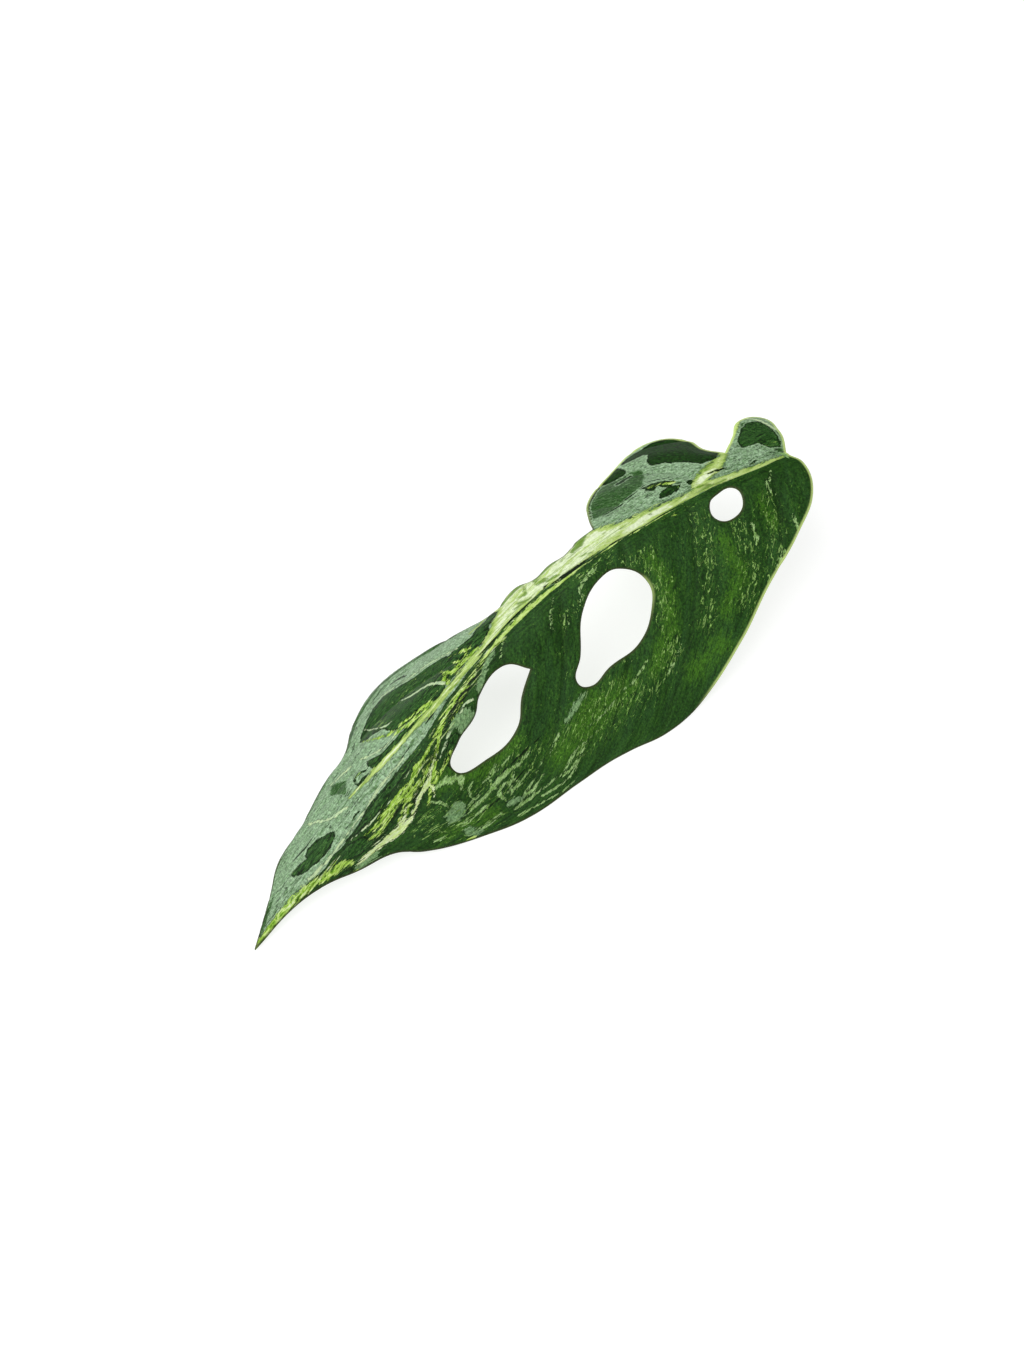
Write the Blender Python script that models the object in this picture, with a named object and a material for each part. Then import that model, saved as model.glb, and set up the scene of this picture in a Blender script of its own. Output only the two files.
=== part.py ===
"""A picked leaf of a young monstera vine, lying on its margins and its cut leaf stalk.

The leaf grew as one piece: a blade with three holes and a broken left margin, a midrib, and a
short leaf stalk. Metres, +Z up. The blade runs along X with its tip at -X. The surface that it
lies on is z = 0, and the origin is at the middle of the leaf's box on that surface.
"""

import bmesh
import bpy
import numpy as np

# Driving dimensions
BLADE_LENGTH = 0.168
BLADE_THICKNESS = 0.00055
CREST_HEIGHT = 0.0288       # the midrib's highest point above the surface
CREST_AT = 0.18             # where that is, as a share of the blade's length from its base
CREST_ROUNDNESS = 1.1       # over 1 makes the midrib's fall towards the tip hollower
MIDRIB_BOW = 0.0115         # how far the midrib swings to +Y
MIDRIB_SKEW = 0.0013        # how much sooner it swings in the basal half
GROOVE_DEPTH = 0.0022       # the midrib lies in a groove this deep
GROOVE_WIDTH = 0.0032
GROOVE_LEAST = 0.05         # what is left of the groove's depth at the tip, squared
KEEL_DEPTH = 0.0013         # how far the midrib stands below the blade at its base
KEEL_WIDTH = 0.0014
KEEL_TAPER = 0.8            # the share of the keel that is gone at the tip
KEEL_LEAST = 0.15
STALK_RADIUS = 0.0019
STALK_LENGTH = 0.0341
STALK_DIRECTION = (0.52, 0.30, -0.80)
STALK_START = (-0.0015, -0.0003, -0.0004)   # from the blade's base
STALK_SWAY = 0.0012
STALK_SHARES = (0.0, 0.12, 0.35, 0.7, 1.0)
STALK_WIDTHS = (1.05, 1.18, 0.95, 0.96, 1.12)
STALK_ROUNDNESS = 3
STALK_CURVE_STEPS = 5
SETTLE = 0.0012             # the height below which the blade bends to lie on the surface
BASE_X = 0.0747             # the blade's base, measured from the origin
BASE_Y = -0.0025

# Slopes of the two halves, from the midrib down to the margin, in degrees
RIGHT_SLOPE = 34
RIGHT_SLOPE_SWELL = 5
LEFT_BASE_SLOPE = 16
LEFT_TIP_SLOPE = 40
LEFT_SLOPE_STARTS = -0.05   # the left half steepens between these shares of the length
LEFT_SLOPE_ENDS = 0.55
STRAIGHT_FALL = 0.85        # a half falls this much in a straight line, and the rest in a curve
CURVED_FALL = 0.15
CURVED_FALL_REACH = 0.040

# The sheet that the blade is cut from
SHEET_MARGIN = 0.006
SHEET_COLUMNS = 52
SHEET_ROWS = 30
SHEET_HALF_WIDTH = 0.050
ROW_CROWDING = 0.45         # row spacing at the midrib, as a share of the mean spacing

# Outlines in the flat blade: millimetres from the base towards the tip, and to the left of the
# midrib. A corner is a point where the margin turns sharply.
BLADE_OUTLINE = (
    (-2.9, -4.0), (-2.6, -11.0), (6.0, -20.5), (18.6, -29.3), (31.0, -38.0), (47.0, -44.7),
    (62.0, -46.6), (74.0, -43.6), (80.5, -41.9), (91.0, -39.8), (106.0, -35.8), (117.5, -28.4),
    (128.5, -19.0), (133.5, -13.4), (141.5, -8.8), (149.0, -4.1), (157.5, -1.0), (168.0, 0.0),
    (157.5, 7.2), (149.5, 13.0), (139.5, 14.9), (128.5, 18.0), (123.0, 18.2), (114.9, 24.0),
    (104.0, 26.8), (94.0, 21.0), (86.5, 13.2), (80.0, 8.2), (72.0, 9.0), (68.5, 6.1),
    (63.5, 6.4), (59.7, 5.4), (55.5, 6.6), (50.3, 6.6), (48.6, 10.8), (44.4, 17.4),
    (36.5, 21.4), (22.5, 23.9), (16.2, 17.5), (15.5, 11.5), (12.7, 7.0), (7.8, 11.3),
    (2.6, 16.0), (-2.9, 13.5), (-3.0, 7.0), (-0.8, 0.5),
)
BLADE_CORNERS = ((168.0, 0.0), (50.3, 6.6), (12.7, 7.0), (-0.8, 0.5))
BASAL_HOLE = ((17.0, -3.4), (15.9, -7.4), (19.0, -10.4), (24.2, -9.0), (24.2, -5.2), (20.8, -3.4))
MIDDLE_HOLE = (
    (52.0, -7.3), (47.0, -14.4), (49.2, -19.6), (56.4, -24.6), (66.8, -24.7), (73.6, -24.8),
    (75.8, -21.8), (71.6, -17.9), (65.1, -10.1), (57.0, -6.5),
)
END_HOLE = (
    (88.0, -6.1), (83.5, -11.4), (89.0, -14.4), (94.5, -18.7), (104.0, -17.8), (111.8, -12.4),
    (107.0, -9.6), (100.2, -8.7), (96.5, -6.4),
)
END_HOLE_CORNERS = ((83.5, -11.4),)
HOLES = (
    ("basal_hole", BASAL_HOLE, ()),
    ("middle_hole", MIDDLE_HOLE, ()),
    ("end_hole", END_HOLE, END_HOLE_CORNERS),
)
CURVE_STEPS = 4
CUTTER_HALF_HEIGHT = 0.004
WELD_DISTANCE = 0.00001
MM_PER_METRE = 1000
NUDGE = 1e-4                # the step that slopes of the sheet are measured with
SHARP_ANGLE = 50


def clear_scene():
    for thing in list(bpy.data.objects):
        bpy.data.objects.remove(thing)


def new_collection(name):
    made = bpy.data.collections.new(name)
    bpy.context.scene.collection.children.link(made)
    return made


def leaf_material():
    made = bpy.data.materials.new("leaf_green")
    made.use_nodes = True
    shader = made.node_tree.nodes["Principled BSDF"]
    shader.inputs["Base Color"].default_value = (0.05, 0.13, 0.03, 1)
    shader.inputs["Roughness"].default_value = 0.42
    shader.inputs["Metallic"].default_value = 0
    return made


def smooth_step(start, end, at):
    share = np.clip((at - start) / (end - start), 0, 1)
    return share * share * (3 - 2 * share)


def midrib(along):
    """Where the midrib's groove is at a distance along the blade: x, y and height."""
    share = along / BLADE_LENGTH
    bow = MIDRIB_BOW * np.sin(np.pi * share) + MIDRIB_SKEW * np.sin(2 * np.pi * share)
    fall = np.cos(np.pi / 2 * np.clip((share - CREST_AT) / (1 - CREST_AT), -1, 1))
    height = CREST_HEIGHT * np.maximum(fall, 0) ** CREST_ROUNDNESS
    return BASE_X - along, BASE_Y + bow, height


def slope(along, across):
    """How steeply each half falls from the midrib, in radians."""
    share = along / BLADE_LENGTH
    right = RIGHT_SLOPE + RIGHT_SLOPE_SWELL * np.sin(np.pi * np.clip(share, 0, 1))
    steepened = smooth_step(LEFT_SLOPE_STARTS, LEFT_SLOPE_ENDS, share)
    left = LEFT_BASE_SLOPE + (LEFT_TIP_SLOPE - LEFT_BASE_SLOPE) * steepened
    return np.radians(np.where(across < 0, right, left))


def underside(along, across):
    """The blade's lower surface, without its keel, for points of the flat blade."""
    x, y, height = midrib(along)
    next_x, next_y, _ = midrib(along + NUDGE)
    run_x, run_y = next_x - x, next_y - y
    run_length = np.hypot(run_x, run_y)
    angle = slope(along, across)
    away = np.abs(across)
    share = along / BLADE_LENGTH
    reach = across * np.cos(angle)
    fall = STRAIGHT_FALL * away + CURVED_FALL * away**2 / CURVED_FALL_REACH
    drop = np.sin(angle) * fall
    shoulder = 1 - np.exp(-((away / GROOVE_WIDTH) ** 2))
    groove = GROOVE_DEPTH * np.sqrt(np.clip(1 - share, GROOVE_LEAST, 1)) * shoulder
    z = height - drop + groove
    settled = np.maximum(z + SETTLE, 0) ** 2 / (4 * SETTLE)
    z = np.where(z < SETTLE, settled, z)
    return np.stack((x + run_y / run_length * reach, y - run_x / run_length * reach, z), -1)


def surface_normal(along, across):
    lengthwise = underside(along + NUDGE, across) - underside(along - NUDGE, across)
    crosswise = underside(along, across + NUDGE) - underside(along, across - NUDGE)
    normal = np.cross(crosswise, lengthwise)
    return normal / np.linalg.norm(normal, axis=-1, keepdims=True)


def keel(along, across):
    """How far the midrib's rib stands below the blade."""
    taper = np.clip(1 - KEEL_TAPER * along / BLADE_LENGTH, KEEL_LEAST, 1)
    return KEEL_DEPTH * taper * np.exp(-((across / (KEEL_WIDTH * np.sqrt(taper))) ** 2))


def flat_sheet():
    """A thin slab with rows that crowd together at the midrib."""
    slab = bmesh.new()
    bmesh.ops.create_grid(slab, x_segments=SHEET_COLUMNS, y_segments=SHEET_ROWS, size=1)
    for vert in slab.verts:
        along = (vert.co.x + 1) / 2 * (BLADE_LENGTH + 2 * SHEET_MARGIN) - SHEET_MARGIN
        crowd = ROW_CROWDING + (1 - ROW_CROWDING) * abs(vert.co.y)
        vert.co = (along, SHEET_HALF_WIDTH * vert.co.y * crowd, 0)
    made = bmesh.ops.extrude_face_region(slab, geom=slab.faces[:])
    raised = [item for item in made["geom"] if isinstance(item, bmesh.types.BMVert)]
    bmesh.ops.translate(slab, verts=raised, vec=(0, 0, BLADE_THICKNESS))
    bmesh.ops.recalc_face_normals(slab, faces=slab.faces)
    return finish_mesh(slab, "sheet")


def finish_mesh(work, name):
    data = bpy.data.meshes.new(name)
    work.to_mesh(data)
    work.free()
    made = bpy.data.objects.new(name, data)
    cutters.objects.link(made)
    return made


def evaluated_mesh(thing):
    """What an object shows, as a mesh with touching points welded."""
    graph = bpy.context.evaluated_depsgraph_get()
    data = bpy.data.meshes.new_from_object(thing.evaluated_get(graph))
    weld = bmesh.new()
    weld.from_mesh(data)
    bmesh.ops.remove_doubles(weld, verts=weld.verts, dist=WELD_DISTANCE)
    bmesh.ops.recalc_face_normals(weld, faces=weld.faces)
    weld.to_mesh(data)
    weld.free()
    return data


def to_closed_mesh(shape):
    """The curve as a mesh object, with its caps welded to its sides."""
    data = evaluated_mesh(shape)
    made = bpy.data.objects.new(shape.name + "_solid", data)
    made.matrix_world = shape.matrix_world
    cutters.objects.link(made)
    bpy.data.objects.remove(shape)
    return made


def outline_solid(name, points, corners):
    """A flat outline, in millimetres, as a solid that the sheet is cut with."""
    curve = bpy.data.curves.new(name, "CURVE")
    curve.dimensions = "2D"
    curve.fill_mode = "BOTH"
    curve.extrude = CUTTER_HALF_HEIGHT
    curve.resolution_u = CURVE_STEPS
    spline = curve.splines.new("BEZIER")
    spline.use_cyclic_u = True
    spline.bezier_points.add(len(points) - 1)
    for point, (along, across) in zip(spline.bezier_points, points):
        kind = "VECTOR" if (along, across) in corners else "AUTO"
        point.co = (along / MM_PER_METRE, across / MM_PER_METRE, 0)
        point.handle_left_type = kind
        point.handle_right_type = kind
    shape = bpy.data.objects.new(name, curve)
    cutters.objects.link(shape)
    return to_closed_mesh(shape)


def boolean(target, operation, tool):
    """Joins or cuts the target with the tool, and keeps the result as the target's mesh."""
    step = target.modifiers.new(operation, "BOOLEAN")
    step.operation = operation
    step.solver = "EXACT"
    step.object = tool
    data = evaluated_mesh(target)
    target.modifiers.clear()
    target.data = data


def bend(blade):
    """Takes the flat blade to its grown shape."""
    data = blade.data
    work = bmesh.new()
    work.from_mesh(data)
    bmesh.ops.triangulate(work, faces=work.faces)
    flat = np.array([vert.co for vert in work.verts])
    along, across = flat[:, 0], flat[:, 1]
    level = flat[:, 2] / BLADE_THICKNESS
    lift = level * BLADE_THICKNESS - (1 - level) * keel(along, across)
    grown = underside(along, across) + surface_normal(along, across) * lift[:, None]
    grown[:, 2] = np.maximum(grown[:, 2], 0)
    for vert, place in zip(work.verts, grown):
        vert.co = place
    work.to_mesh(data)
    work.free()


def leaf_stalk():
    """The leaf stalk: thick at its joint with the blade, slimmer below, widening to its cut end."""
    base = np.array(midrib(np.array(0.0)))
    direction = np.array(STALK_DIRECTION) / np.linalg.norm(STALK_DIRECTION)
    start = base + STALK_START
    curve = bpy.data.curves.new("stalk", "CURVE")
    curve.dimensions = "3D"
    curve.bevel_depth = STALK_RADIUS
    curve.bevel_resolution = STALK_ROUNDNESS
    curve.use_fill_caps = True
    curve.resolution_u = STALK_CURVE_STEPS
    spline = curve.splines.new("BEZIER")
    spline.bezier_points.add(len(STALK_SHARES) - 1)
    for point, share, width in zip(spline.bezier_points, STALK_SHARES, STALK_WIDTHS):
        sway = STALK_SWAY * np.sin(np.pi * share)
        place = start + direction * STALK_LENGTH * share + (sway, -sway, 0)
        point.co = place
        point.radius = width
        point.handle_left_type = "AUTO"
        point.handle_right_type = "AUTO"
    shape = bpy.data.objects.new("stalk", curve)
    cutters.objects.link(shape)
    return to_closed_mesh(shape)


def settle_on_surface(leaf):
    """Flattens what would reach below the surface."""
    for vert in leaf.data.vertices:
        vert.co.z = max(vert.co.z, 0)


def shade(leaf):
    leaf.data.shade_smooth()
    leaf.data.set_sharp_from_angle(angle=np.radians(SHARP_ANGLE))


def build_leaf():
    leaf = flat_sheet()
    leaf.name = "leaf"
    boolean(leaf, "INTERSECT", outline_solid("blade_outline", BLADE_OUTLINE, BLADE_CORNERS))
    for name, points, corners in HOLES:
        boolean(leaf, "DIFFERENCE", outline_solid(name, points, corners))
    bend(leaf)
    boolean(leaf, "UNION", leaf_stalk())
    settle_on_surface(leaf)
    shade(leaf)
    leaf.data.materials.clear()
    leaf.data.materials.append(leaf_material())
    cutters.objects.unlink(leaf)
    parts.objects.link(leaf)


def hide_cutters():
    for tool in cutters.objects:
        tool.hide_render = True
        tool.display_type = "WIRE"


clear_scene()
parts = new_collection("monstera_leaf")
cutters = new_collection("cutters")
build_leaf()
hide_cutters()
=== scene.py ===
# %% [markdown]
# A picked monstera leaf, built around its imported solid.
#
# The leaf is one thing that grew in one piece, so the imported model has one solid, `leaf`. This
# lesson makes two fine pieces that stand for it: the blade, which is a thin marbled sheet with
# holes, and the short stalk that it was picked with. Everything is in metres, with +Z up.

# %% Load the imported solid
import math

import bmesh
import bpy
import numpy as np
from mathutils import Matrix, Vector
from mathutils.kdtree import KDTree


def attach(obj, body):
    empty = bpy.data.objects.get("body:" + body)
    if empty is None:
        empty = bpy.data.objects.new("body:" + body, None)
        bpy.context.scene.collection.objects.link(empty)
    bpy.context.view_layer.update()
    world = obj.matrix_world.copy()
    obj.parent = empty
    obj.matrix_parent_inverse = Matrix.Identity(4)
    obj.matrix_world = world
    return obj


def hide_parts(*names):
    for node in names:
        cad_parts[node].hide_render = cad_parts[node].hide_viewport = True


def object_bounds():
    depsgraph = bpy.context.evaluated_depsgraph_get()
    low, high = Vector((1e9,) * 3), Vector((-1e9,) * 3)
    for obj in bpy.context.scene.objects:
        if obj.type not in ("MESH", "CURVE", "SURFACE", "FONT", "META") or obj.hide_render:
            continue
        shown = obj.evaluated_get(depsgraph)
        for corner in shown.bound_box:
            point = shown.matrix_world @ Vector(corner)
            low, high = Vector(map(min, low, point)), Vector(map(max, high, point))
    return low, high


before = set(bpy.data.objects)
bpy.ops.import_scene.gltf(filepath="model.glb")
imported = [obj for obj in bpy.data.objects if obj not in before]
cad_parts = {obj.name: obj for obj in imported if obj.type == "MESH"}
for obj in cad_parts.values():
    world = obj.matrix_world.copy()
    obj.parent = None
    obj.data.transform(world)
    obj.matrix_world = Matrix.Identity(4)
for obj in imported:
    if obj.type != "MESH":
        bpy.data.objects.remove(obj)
cad_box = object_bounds()
CAD_LOW, CAD_HIGH = cad_box
print("CAD box, mm:", [round(1000 * side, 1) for side in CAD_HIGH - CAD_LOW])

# %% [markdown]
# The camera comes first. It looks down on the leaf from beyond its tip, to the right of the
# midrib, so that the broad right half faces it and the left half falls away behind the midrib.
# A short lens close to the leaf gives the strong perspective that an eye bent over it has.

# %% Camera
VIEW_TURN = math.radians(-43.4)
VIEW_LIFT = math.radians(60.0)
VIEW_DISTANCE = 0.3047
LENS = 35.0
SENSOR = 36.0
LOOK_OFFSET = Vector((-0.0121, 0.0019, 0.0002))

to_camera = Vector((
    math.sin(VIEW_TURN) * math.cos(VIEW_LIFT),
    -math.cos(VIEW_TURN) * math.cos(VIEW_LIFT),
    math.sin(VIEW_LIFT),
))
box_centre = (CAD_LOW + CAD_HIGH) / 2
camera = bpy.data.objects.new("camera", bpy.data.cameras.new("camera"))
camera.data.lens = LENS
camera.data.sensor_width = SENSOR
camera.data.clip_start = 0.01
camera.location = box_centre + LOOK_OFFSET + to_camera * VIEW_DISTANCE
camera.rotation_mode = "QUATERNION"
camera.rotation_quaternion = (-to_camera).to_track_quat("-Z", "Y")
bpy.context.scene.collection.objects.link(camera)
bpy.context.scene.camera = camera
print("camera at", [round(value, 4) for value in camera.location])

# %% [markdown]
# A leaf blade is a flat outline that grew into a bent sheet. So it is made in two steps: the
# outline is cut from a flat sheet, and every point of the sheet is then carried to its place on
# the bent one. The numbers here are the leaf's own: its length, how high its midrib arches over
# the surface it lies on, and how steeply each half falls away from it.

# %% The leaf's sizes
BLADE_LENGTH = 0.168
BLADE_THICKNESS = 0.00055
CREST_HEIGHT = 0.0288
CREST_AT = 0.18
MIDRIB_BOW = 0.0115
MIDRIB_SKEW = 0.0013
GROOVE_DEPTH = 0.0022
GROOVE_WIDTH = 0.0032
KEEL_DEPTH = 0.0013
KEEL_WIDTH = 0.0014
SETTLE = 0.0012
BASE_X = 0.0747
BASE_Y = -0.0025
RIGHT_SLOPE = 34
RIGHT_SLOPE_SWELL = 5
LEFT_BASE_SLOPE = 16
LEFT_TIP_SLOPE = 40
MM = 0.001
NUDGE = 1e-4

# %% [markdown]
# The outline is a closed curve through points that are given as (along, across) in millimetres,
# across being positive on the left half. It runs from the base along the right margin to the
# tip and back along the left one. A corner has straight handles; everywhere else the curve is
# smooth. The three holes are smaller curves of the same kind.

# %% The outline and the holes
BLADE_OUTLINE = (
    (-2.9, -4.0), (-2.6, -11.0), (6.0, -20.5), (18.6, -29.3), (31.0, -38.0), (47.0, -44.7),
    (62.0, -46.6), (74.0, -43.6), (80.5, -41.9), (91.0, -39.8), (106.0, -35.8), (117.5, -28.4),
    (128.5, -19.0), (133.5, -13.4), (141.5, -8.8), (149.0, -4.1), (157.5, -1.0), (168.0, 0.0),
    (157.5, 7.2), (149.5, 13.0), (139.5, 14.9), (128.5, 18.0), (123.0, 18.2), (114.9, 24.0),
    (104.0, 26.8), (94.0, 21.0), (86.5, 13.2), (80.0, 8.2), (72.0, 9.0), (68.5, 6.1),
    (63.5, 6.4), (59.7, 5.4), (55.5, 6.6), (50.3, 6.6), (48.6, 10.8), (44.4, 17.4),
    (36.5, 21.4), (22.5, 23.9), (16.2, 17.5), (15.5, 11.5), (12.7, 7.0), (7.8, 11.3),
    (2.6, 16.0), (-2.9, 13.5), (-3.0, 7.0), (-0.8, 0.5),
)
BLADE_CORNERS = ((168.0, 0.0), (50.3, 6.6), (12.7, 7.0), (-0.8, 0.5))
BASAL_HOLE = ((17.0, -3.4), (15.9, -7.4), (19.0, -10.4), (24.2, -9.0), (24.2, -5.2), (20.8, -3.4))
MIDDLE_HOLE = (
    (52.0, -7.3), (47.0, -14.4), (49.2, -19.6), (56.4, -24.6), (66.8, -24.7), (73.6, -24.8),
    (75.8, -21.8), (71.6, -17.9), (65.1, -10.1), (57.0, -6.5),
)
END_HOLE = (
    (88.0, -6.1), (83.5, -11.4), (89.0, -14.4), (94.5, -18.7), (104.0, -17.8), (111.8, -12.4),
    (107.0, -9.6), (100.2, -8.7), (96.5, -6.4),
)
END_HOLE_CORNERS = ((83.5, -11.4),)
HOLES = (
    ("basal_hole", BASAL_HOLE, ()),
    ("middle_hole", MIDDLE_HOLE, ()),
    ("end_hole", END_HOLE, END_HOLE_CORNERS),
)
print("outline of", len(BLADE_OUTLINE), "points,", len(HOLES), "holes")

# %% [markdown]
# The bent sheet is a formula: it takes a place on the flat sheet and says where it is in space.
# The midrib is a bowed line that arches up and comes down again at the tip. From it each half
# falls away at its own slope, a little faster further out, with the groove of the midrib between
# them. Where the sheet would sink below the surface it lies on, it is eased up onto it.

# %% The bent sheet as a formula
CREST_ROUNDNESS = 1.1
GROOVE_LEAST = 0.05
LEFT_SLOPE_STARTS = -0.05
LEFT_SLOPE_ENDS = 0.55
STRAIGHT_FALL = 0.85
CURVED_FALL = 0.15
CURVED_FALL_REACH = 0.040


def smooth_step(start, end, at):
    share = np.clip((at - start) / (end - start), 0, 1)
    return share * share * (3 - 2 * share)


def midrib(along):
    """Where the midrib's groove is at a distance along the blade: x, y and height."""
    share = along / BLADE_LENGTH
    bow = MIDRIB_BOW * np.sin(np.pi * share) + MIDRIB_SKEW * np.sin(2 * np.pi * share)
    fall = np.cos(np.pi / 2 * np.clip((share - CREST_AT) / (1 - CREST_AT), -1, 1))
    height = CREST_HEIGHT * np.maximum(fall, 0) ** CREST_ROUNDNESS
    return BASE_X - along, BASE_Y + bow, height


def slope(along, across):
    """How steeply each half falls from the midrib, in radians."""
    share = along / BLADE_LENGTH
    right = RIGHT_SLOPE + RIGHT_SLOPE_SWELL * np.sin(np.pi * np.clip(share, 0, 1))
    steepening = smooth_step(LEFT_SLOPE_STARTS, LEFT_SLOPE_ENDS, share)
    left = LEFT_BASE_SLOPE + (LEFT_TIP_SLOPE - LEFT_BASE_SLOPE) * steepening
    return np.radians(np.where(across < 0, right, left))


def sheet_place(along, across, relief=0.0):
    """A point of the flat sheet on the bent one, raised by its share of the relief."""
    x, y, height = midrib(along)
    next_x, next_y, _ = midrib(along + NUDGE)
    run_x, run_y = next_x - x, next_y - y
    run_length = np.hypot(run_x, run_y)
    angle = slope(along, across)
    away = np.abs(across)
    share = along / BLADE_LENGTH
    reach = across * np.cos(angle)
    curved_fall = CURVED_FALL * away**2 / CURVED_FALL_REACH
    drop = np.sin(angle) * (STRAIGHT_FALL * away + curved_fall)
    shoulder = 1 - np.exp(-((away / GROOVE_WIDTH) ** 2))
    groove = GROOVE_DEPTH * np.sqrt(np.clip(1 - share, GROOVE_LEAST, 1)) * shoulder
    z = height - drop + groove + relief
    settled = np.maximum(z + SETTLE, 0) ** 2 / (4 * SETTLE)
    z = np.where(z < SETTLE, settled, z)
    return np.stack((x + run_y / run_length * reach, y - run_x / run_length * reach, z), -1)


# %% [markdown]
# Side veins leave the midrib, run out across the blade and bend towards the tip near the margin.
# Almost every mark on the leaf follows them: the soft quilting between two veins, the streaks of
# the marbling and the rows of fine flecks. So each point gets a vein coordinate: the place on the
# midrib from which a vein through that point would start.

# %% Vein coordinates
WIDE_RIGHT = ((62, 46.6), (74, 44.0), (91, 39.8), (106, 34.6), (117.5, 27.6), (128.5, 19.0),
              (141.5, 9.4), (152, 4.6), (168, 2.4))
WIDE_LEFT = ((104, 26.8), (115, 24.0), (124, 18.6), (139.5, 14.9), (150, 12.0), (158, 7.0),
             (168, 2.4))
LEFT_STRETCH = 1.7
VEIN_LEAN = 0.10
VEIN_LEAN_GROWTH = 0.0062
VEIN_CURL = 11.0
VEIN_CURL_REACH = 36.0
HALVINGS = 26


def spread_away(along, across):
    """Distance from the midrib, stretched near the tip so that it is the same all along a margin."""
    right = np.interp(along, *zip(*WIDE_RIGHT))
    left = np.interp(along, *zip(*WIDE_LEFT))
    from_right = -across * WIDE_RIGHT[0][1] / right
    from_left = across * LEFT_STRETCH * WIDE_LEFT[0][1] / left
    return np.where(across < 0, from_right, from_left)


def vein_offset(root, away):
    """How far tipwards a vein has run, in mm, once it is this far from the midrib."""
    lean = VEIN_LEAN + VEIN_LEAN_GROWTH * np.clip(root, 0, 100)
    return lean * away + VEIN_CURL * (away / VEIN_CURL_REACH) ** 3


def vein_root(along, away):
    """The root, in mm, of the vein through each point, found by halving an interval."""
    low = np.full_like(along, -90.0)
    high = np.full_like(along, 190.0)
    for _ in range(HALVINGS):
        middle = (low + high) / 2
        short = middle + vein_offset(middle, away) < along
        low = np.where(short, middle, low)
        high = np.where(short, high, middle)
    return (low + high) / 2


# %% [markdown]
# Each half has about a dozen side veins. Between two of them the blade swells, and along each of
# them it dips, so both are worked out from the vein coordinate and the roots of the veins.

# %% Quilting between the veins
RIGHT_VEINS = (-16.0, 6.0, 28.5, 47.0, 66.0, 84.0, 104.0, 119.0, 131.0, 142.0, 151.0, 160.0)
LEFT_VEINS = (-20.0, 6.0, 22.0, 36.0, 52.0, 70.0, 88.0, 104.0, 118.0, 130.0, 141.0, 151.0, 160.0)


def vein_relief(root, away, roots):
    """(height of the quilting from 0 to 1, closeness to a vein from 0 to 1)"""
    quilt = np.zeros_like(root)
    closeness = np.zeros_like(root)
    for start, end in zip(roots[:-1], roots[1:]):
        inside = (root >= start) & (root < end)
        share = np.clip((root - start) / (end - start), 0, 1)
        quilt = np.where(inside, np.sin(np.pi * share) ** 2, quilt)
    for start in roots:
        thickness = 0.55 + 0.5 * np.exp(-away / 14.0)
        closeness = np.maximum(closeness, np.exp(-(((root - start) / thickness) ** 2)))
    return quilt * smooth_step(1.5, 9.0, away), closeness * smooth_step(0.4, 3.0, away)


# %% [markdown]
# The flat sheet is a grid with a real thickness. The outline and the three holes are curves, made
# solid and used as Boolean cutters, so that the margin is as smooth as the curve and not as
# coarse as the grid.

# %% Cut the blade from a flat sheet
SHEET_LOW = (-4.0, -48.0)
SHEET_HIGH = (169.0, 28.0)
GRID_STEP = 0.55  # in millimetres
CURVE_STEPS = 20
CUTTER_HALF_HEIGHT = 0.004
WELD_DISTANCE = 0.000004


def link(name, data):
    made = bpy.data.objects.new(name, data)
    bpy.context.scene.collection.objects.link(made)
    return made


def evaluated_mesh(thing):
    """What an object shows, as a mesh with touching points welded."""
    graph = bpy.context.evaluated_depsgraph_get()
    data = bpy.data.meshes.new_from_object(thing.evaluated_get(graph))
    weld = bmesh.new()
    weld.from_mesh(data)
    bmesh.ops.remove_doubles(weld, verts=weld.verts, dist=WELD_DISTANCE)
    bmesh.ops.recalc_face_normals(weld, faces=weld.faces)
    weld.to_mesh(data)
    weld.free()
    return data


def flat_sheet():
    work = bmesh.new()
    wide = SHEET_HIGH[0] - SHEET_LOW[0]
    deep = SHEET_HIGH[1] - SHEET_LOW[1]
    columns = round(wide / GRID_STEP)
    rows = round(deep / GRID_STEP)
    bmesh.ops.create_grid(work, x_segments=columns, y_segments=rows, size=0.5)
    bmesh.ops.scale(work, verts=work.verts, vec=(wide * MM, deep * MM, 1))
    centre = ((SHEET_LOW[0] + wide / 2) * MM, (SHEET_LOW[1] + deep / 2) * MM, 0)
    bmesh.ops.translate(work, verts=work.verts, vec=centre)
    made = bmesh.ops.extrude_face_region(work, geom=work.faces[:])
    raised = [item for item in made["geom"] if isinstance(item, bmesh.types.BMVert)]
    bmesh.ops.translate(work, verts=raised, vec=(0, 0, BLADE_THICKNESS))
    bmesh.ops.recalc_face_normals(work, faces=work.faces)
    data = bpy.data.meshes.new("blade")
    work.to_mesh(data)
    work.free()
    return link("blade", data)


def outline_solid(name, points, corners):
    curve = bpy.data.curves.new(name, "CURVE")
    curve.dimensions = "2D"
    curve.fill_mode = "BOTH"
    curve.extrude = CUTTER_HALF_HEIGHT
    curve.resolution_u = CURVE_STEPS
    spline = curve.splines.new("BEZIER")
    spline.use_cyclic_u = True
    spline.bezier_points.add(len(points) - 1)
    for point, (along, across) in zip(spline.bezier_points, points):
        kind = "VECTOR" if (along, across) in corners else "AUTO"
        point.co = (along * MM, across * MM, 0)
        point.handle_left_type = kind
        point.handle_right_type = kind
    shape = link(name, curve)
    solid = link(name + "_solid", evaluated_mesh(shape))
    bpy.data.objects.remove(shape)
    return solid


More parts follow.
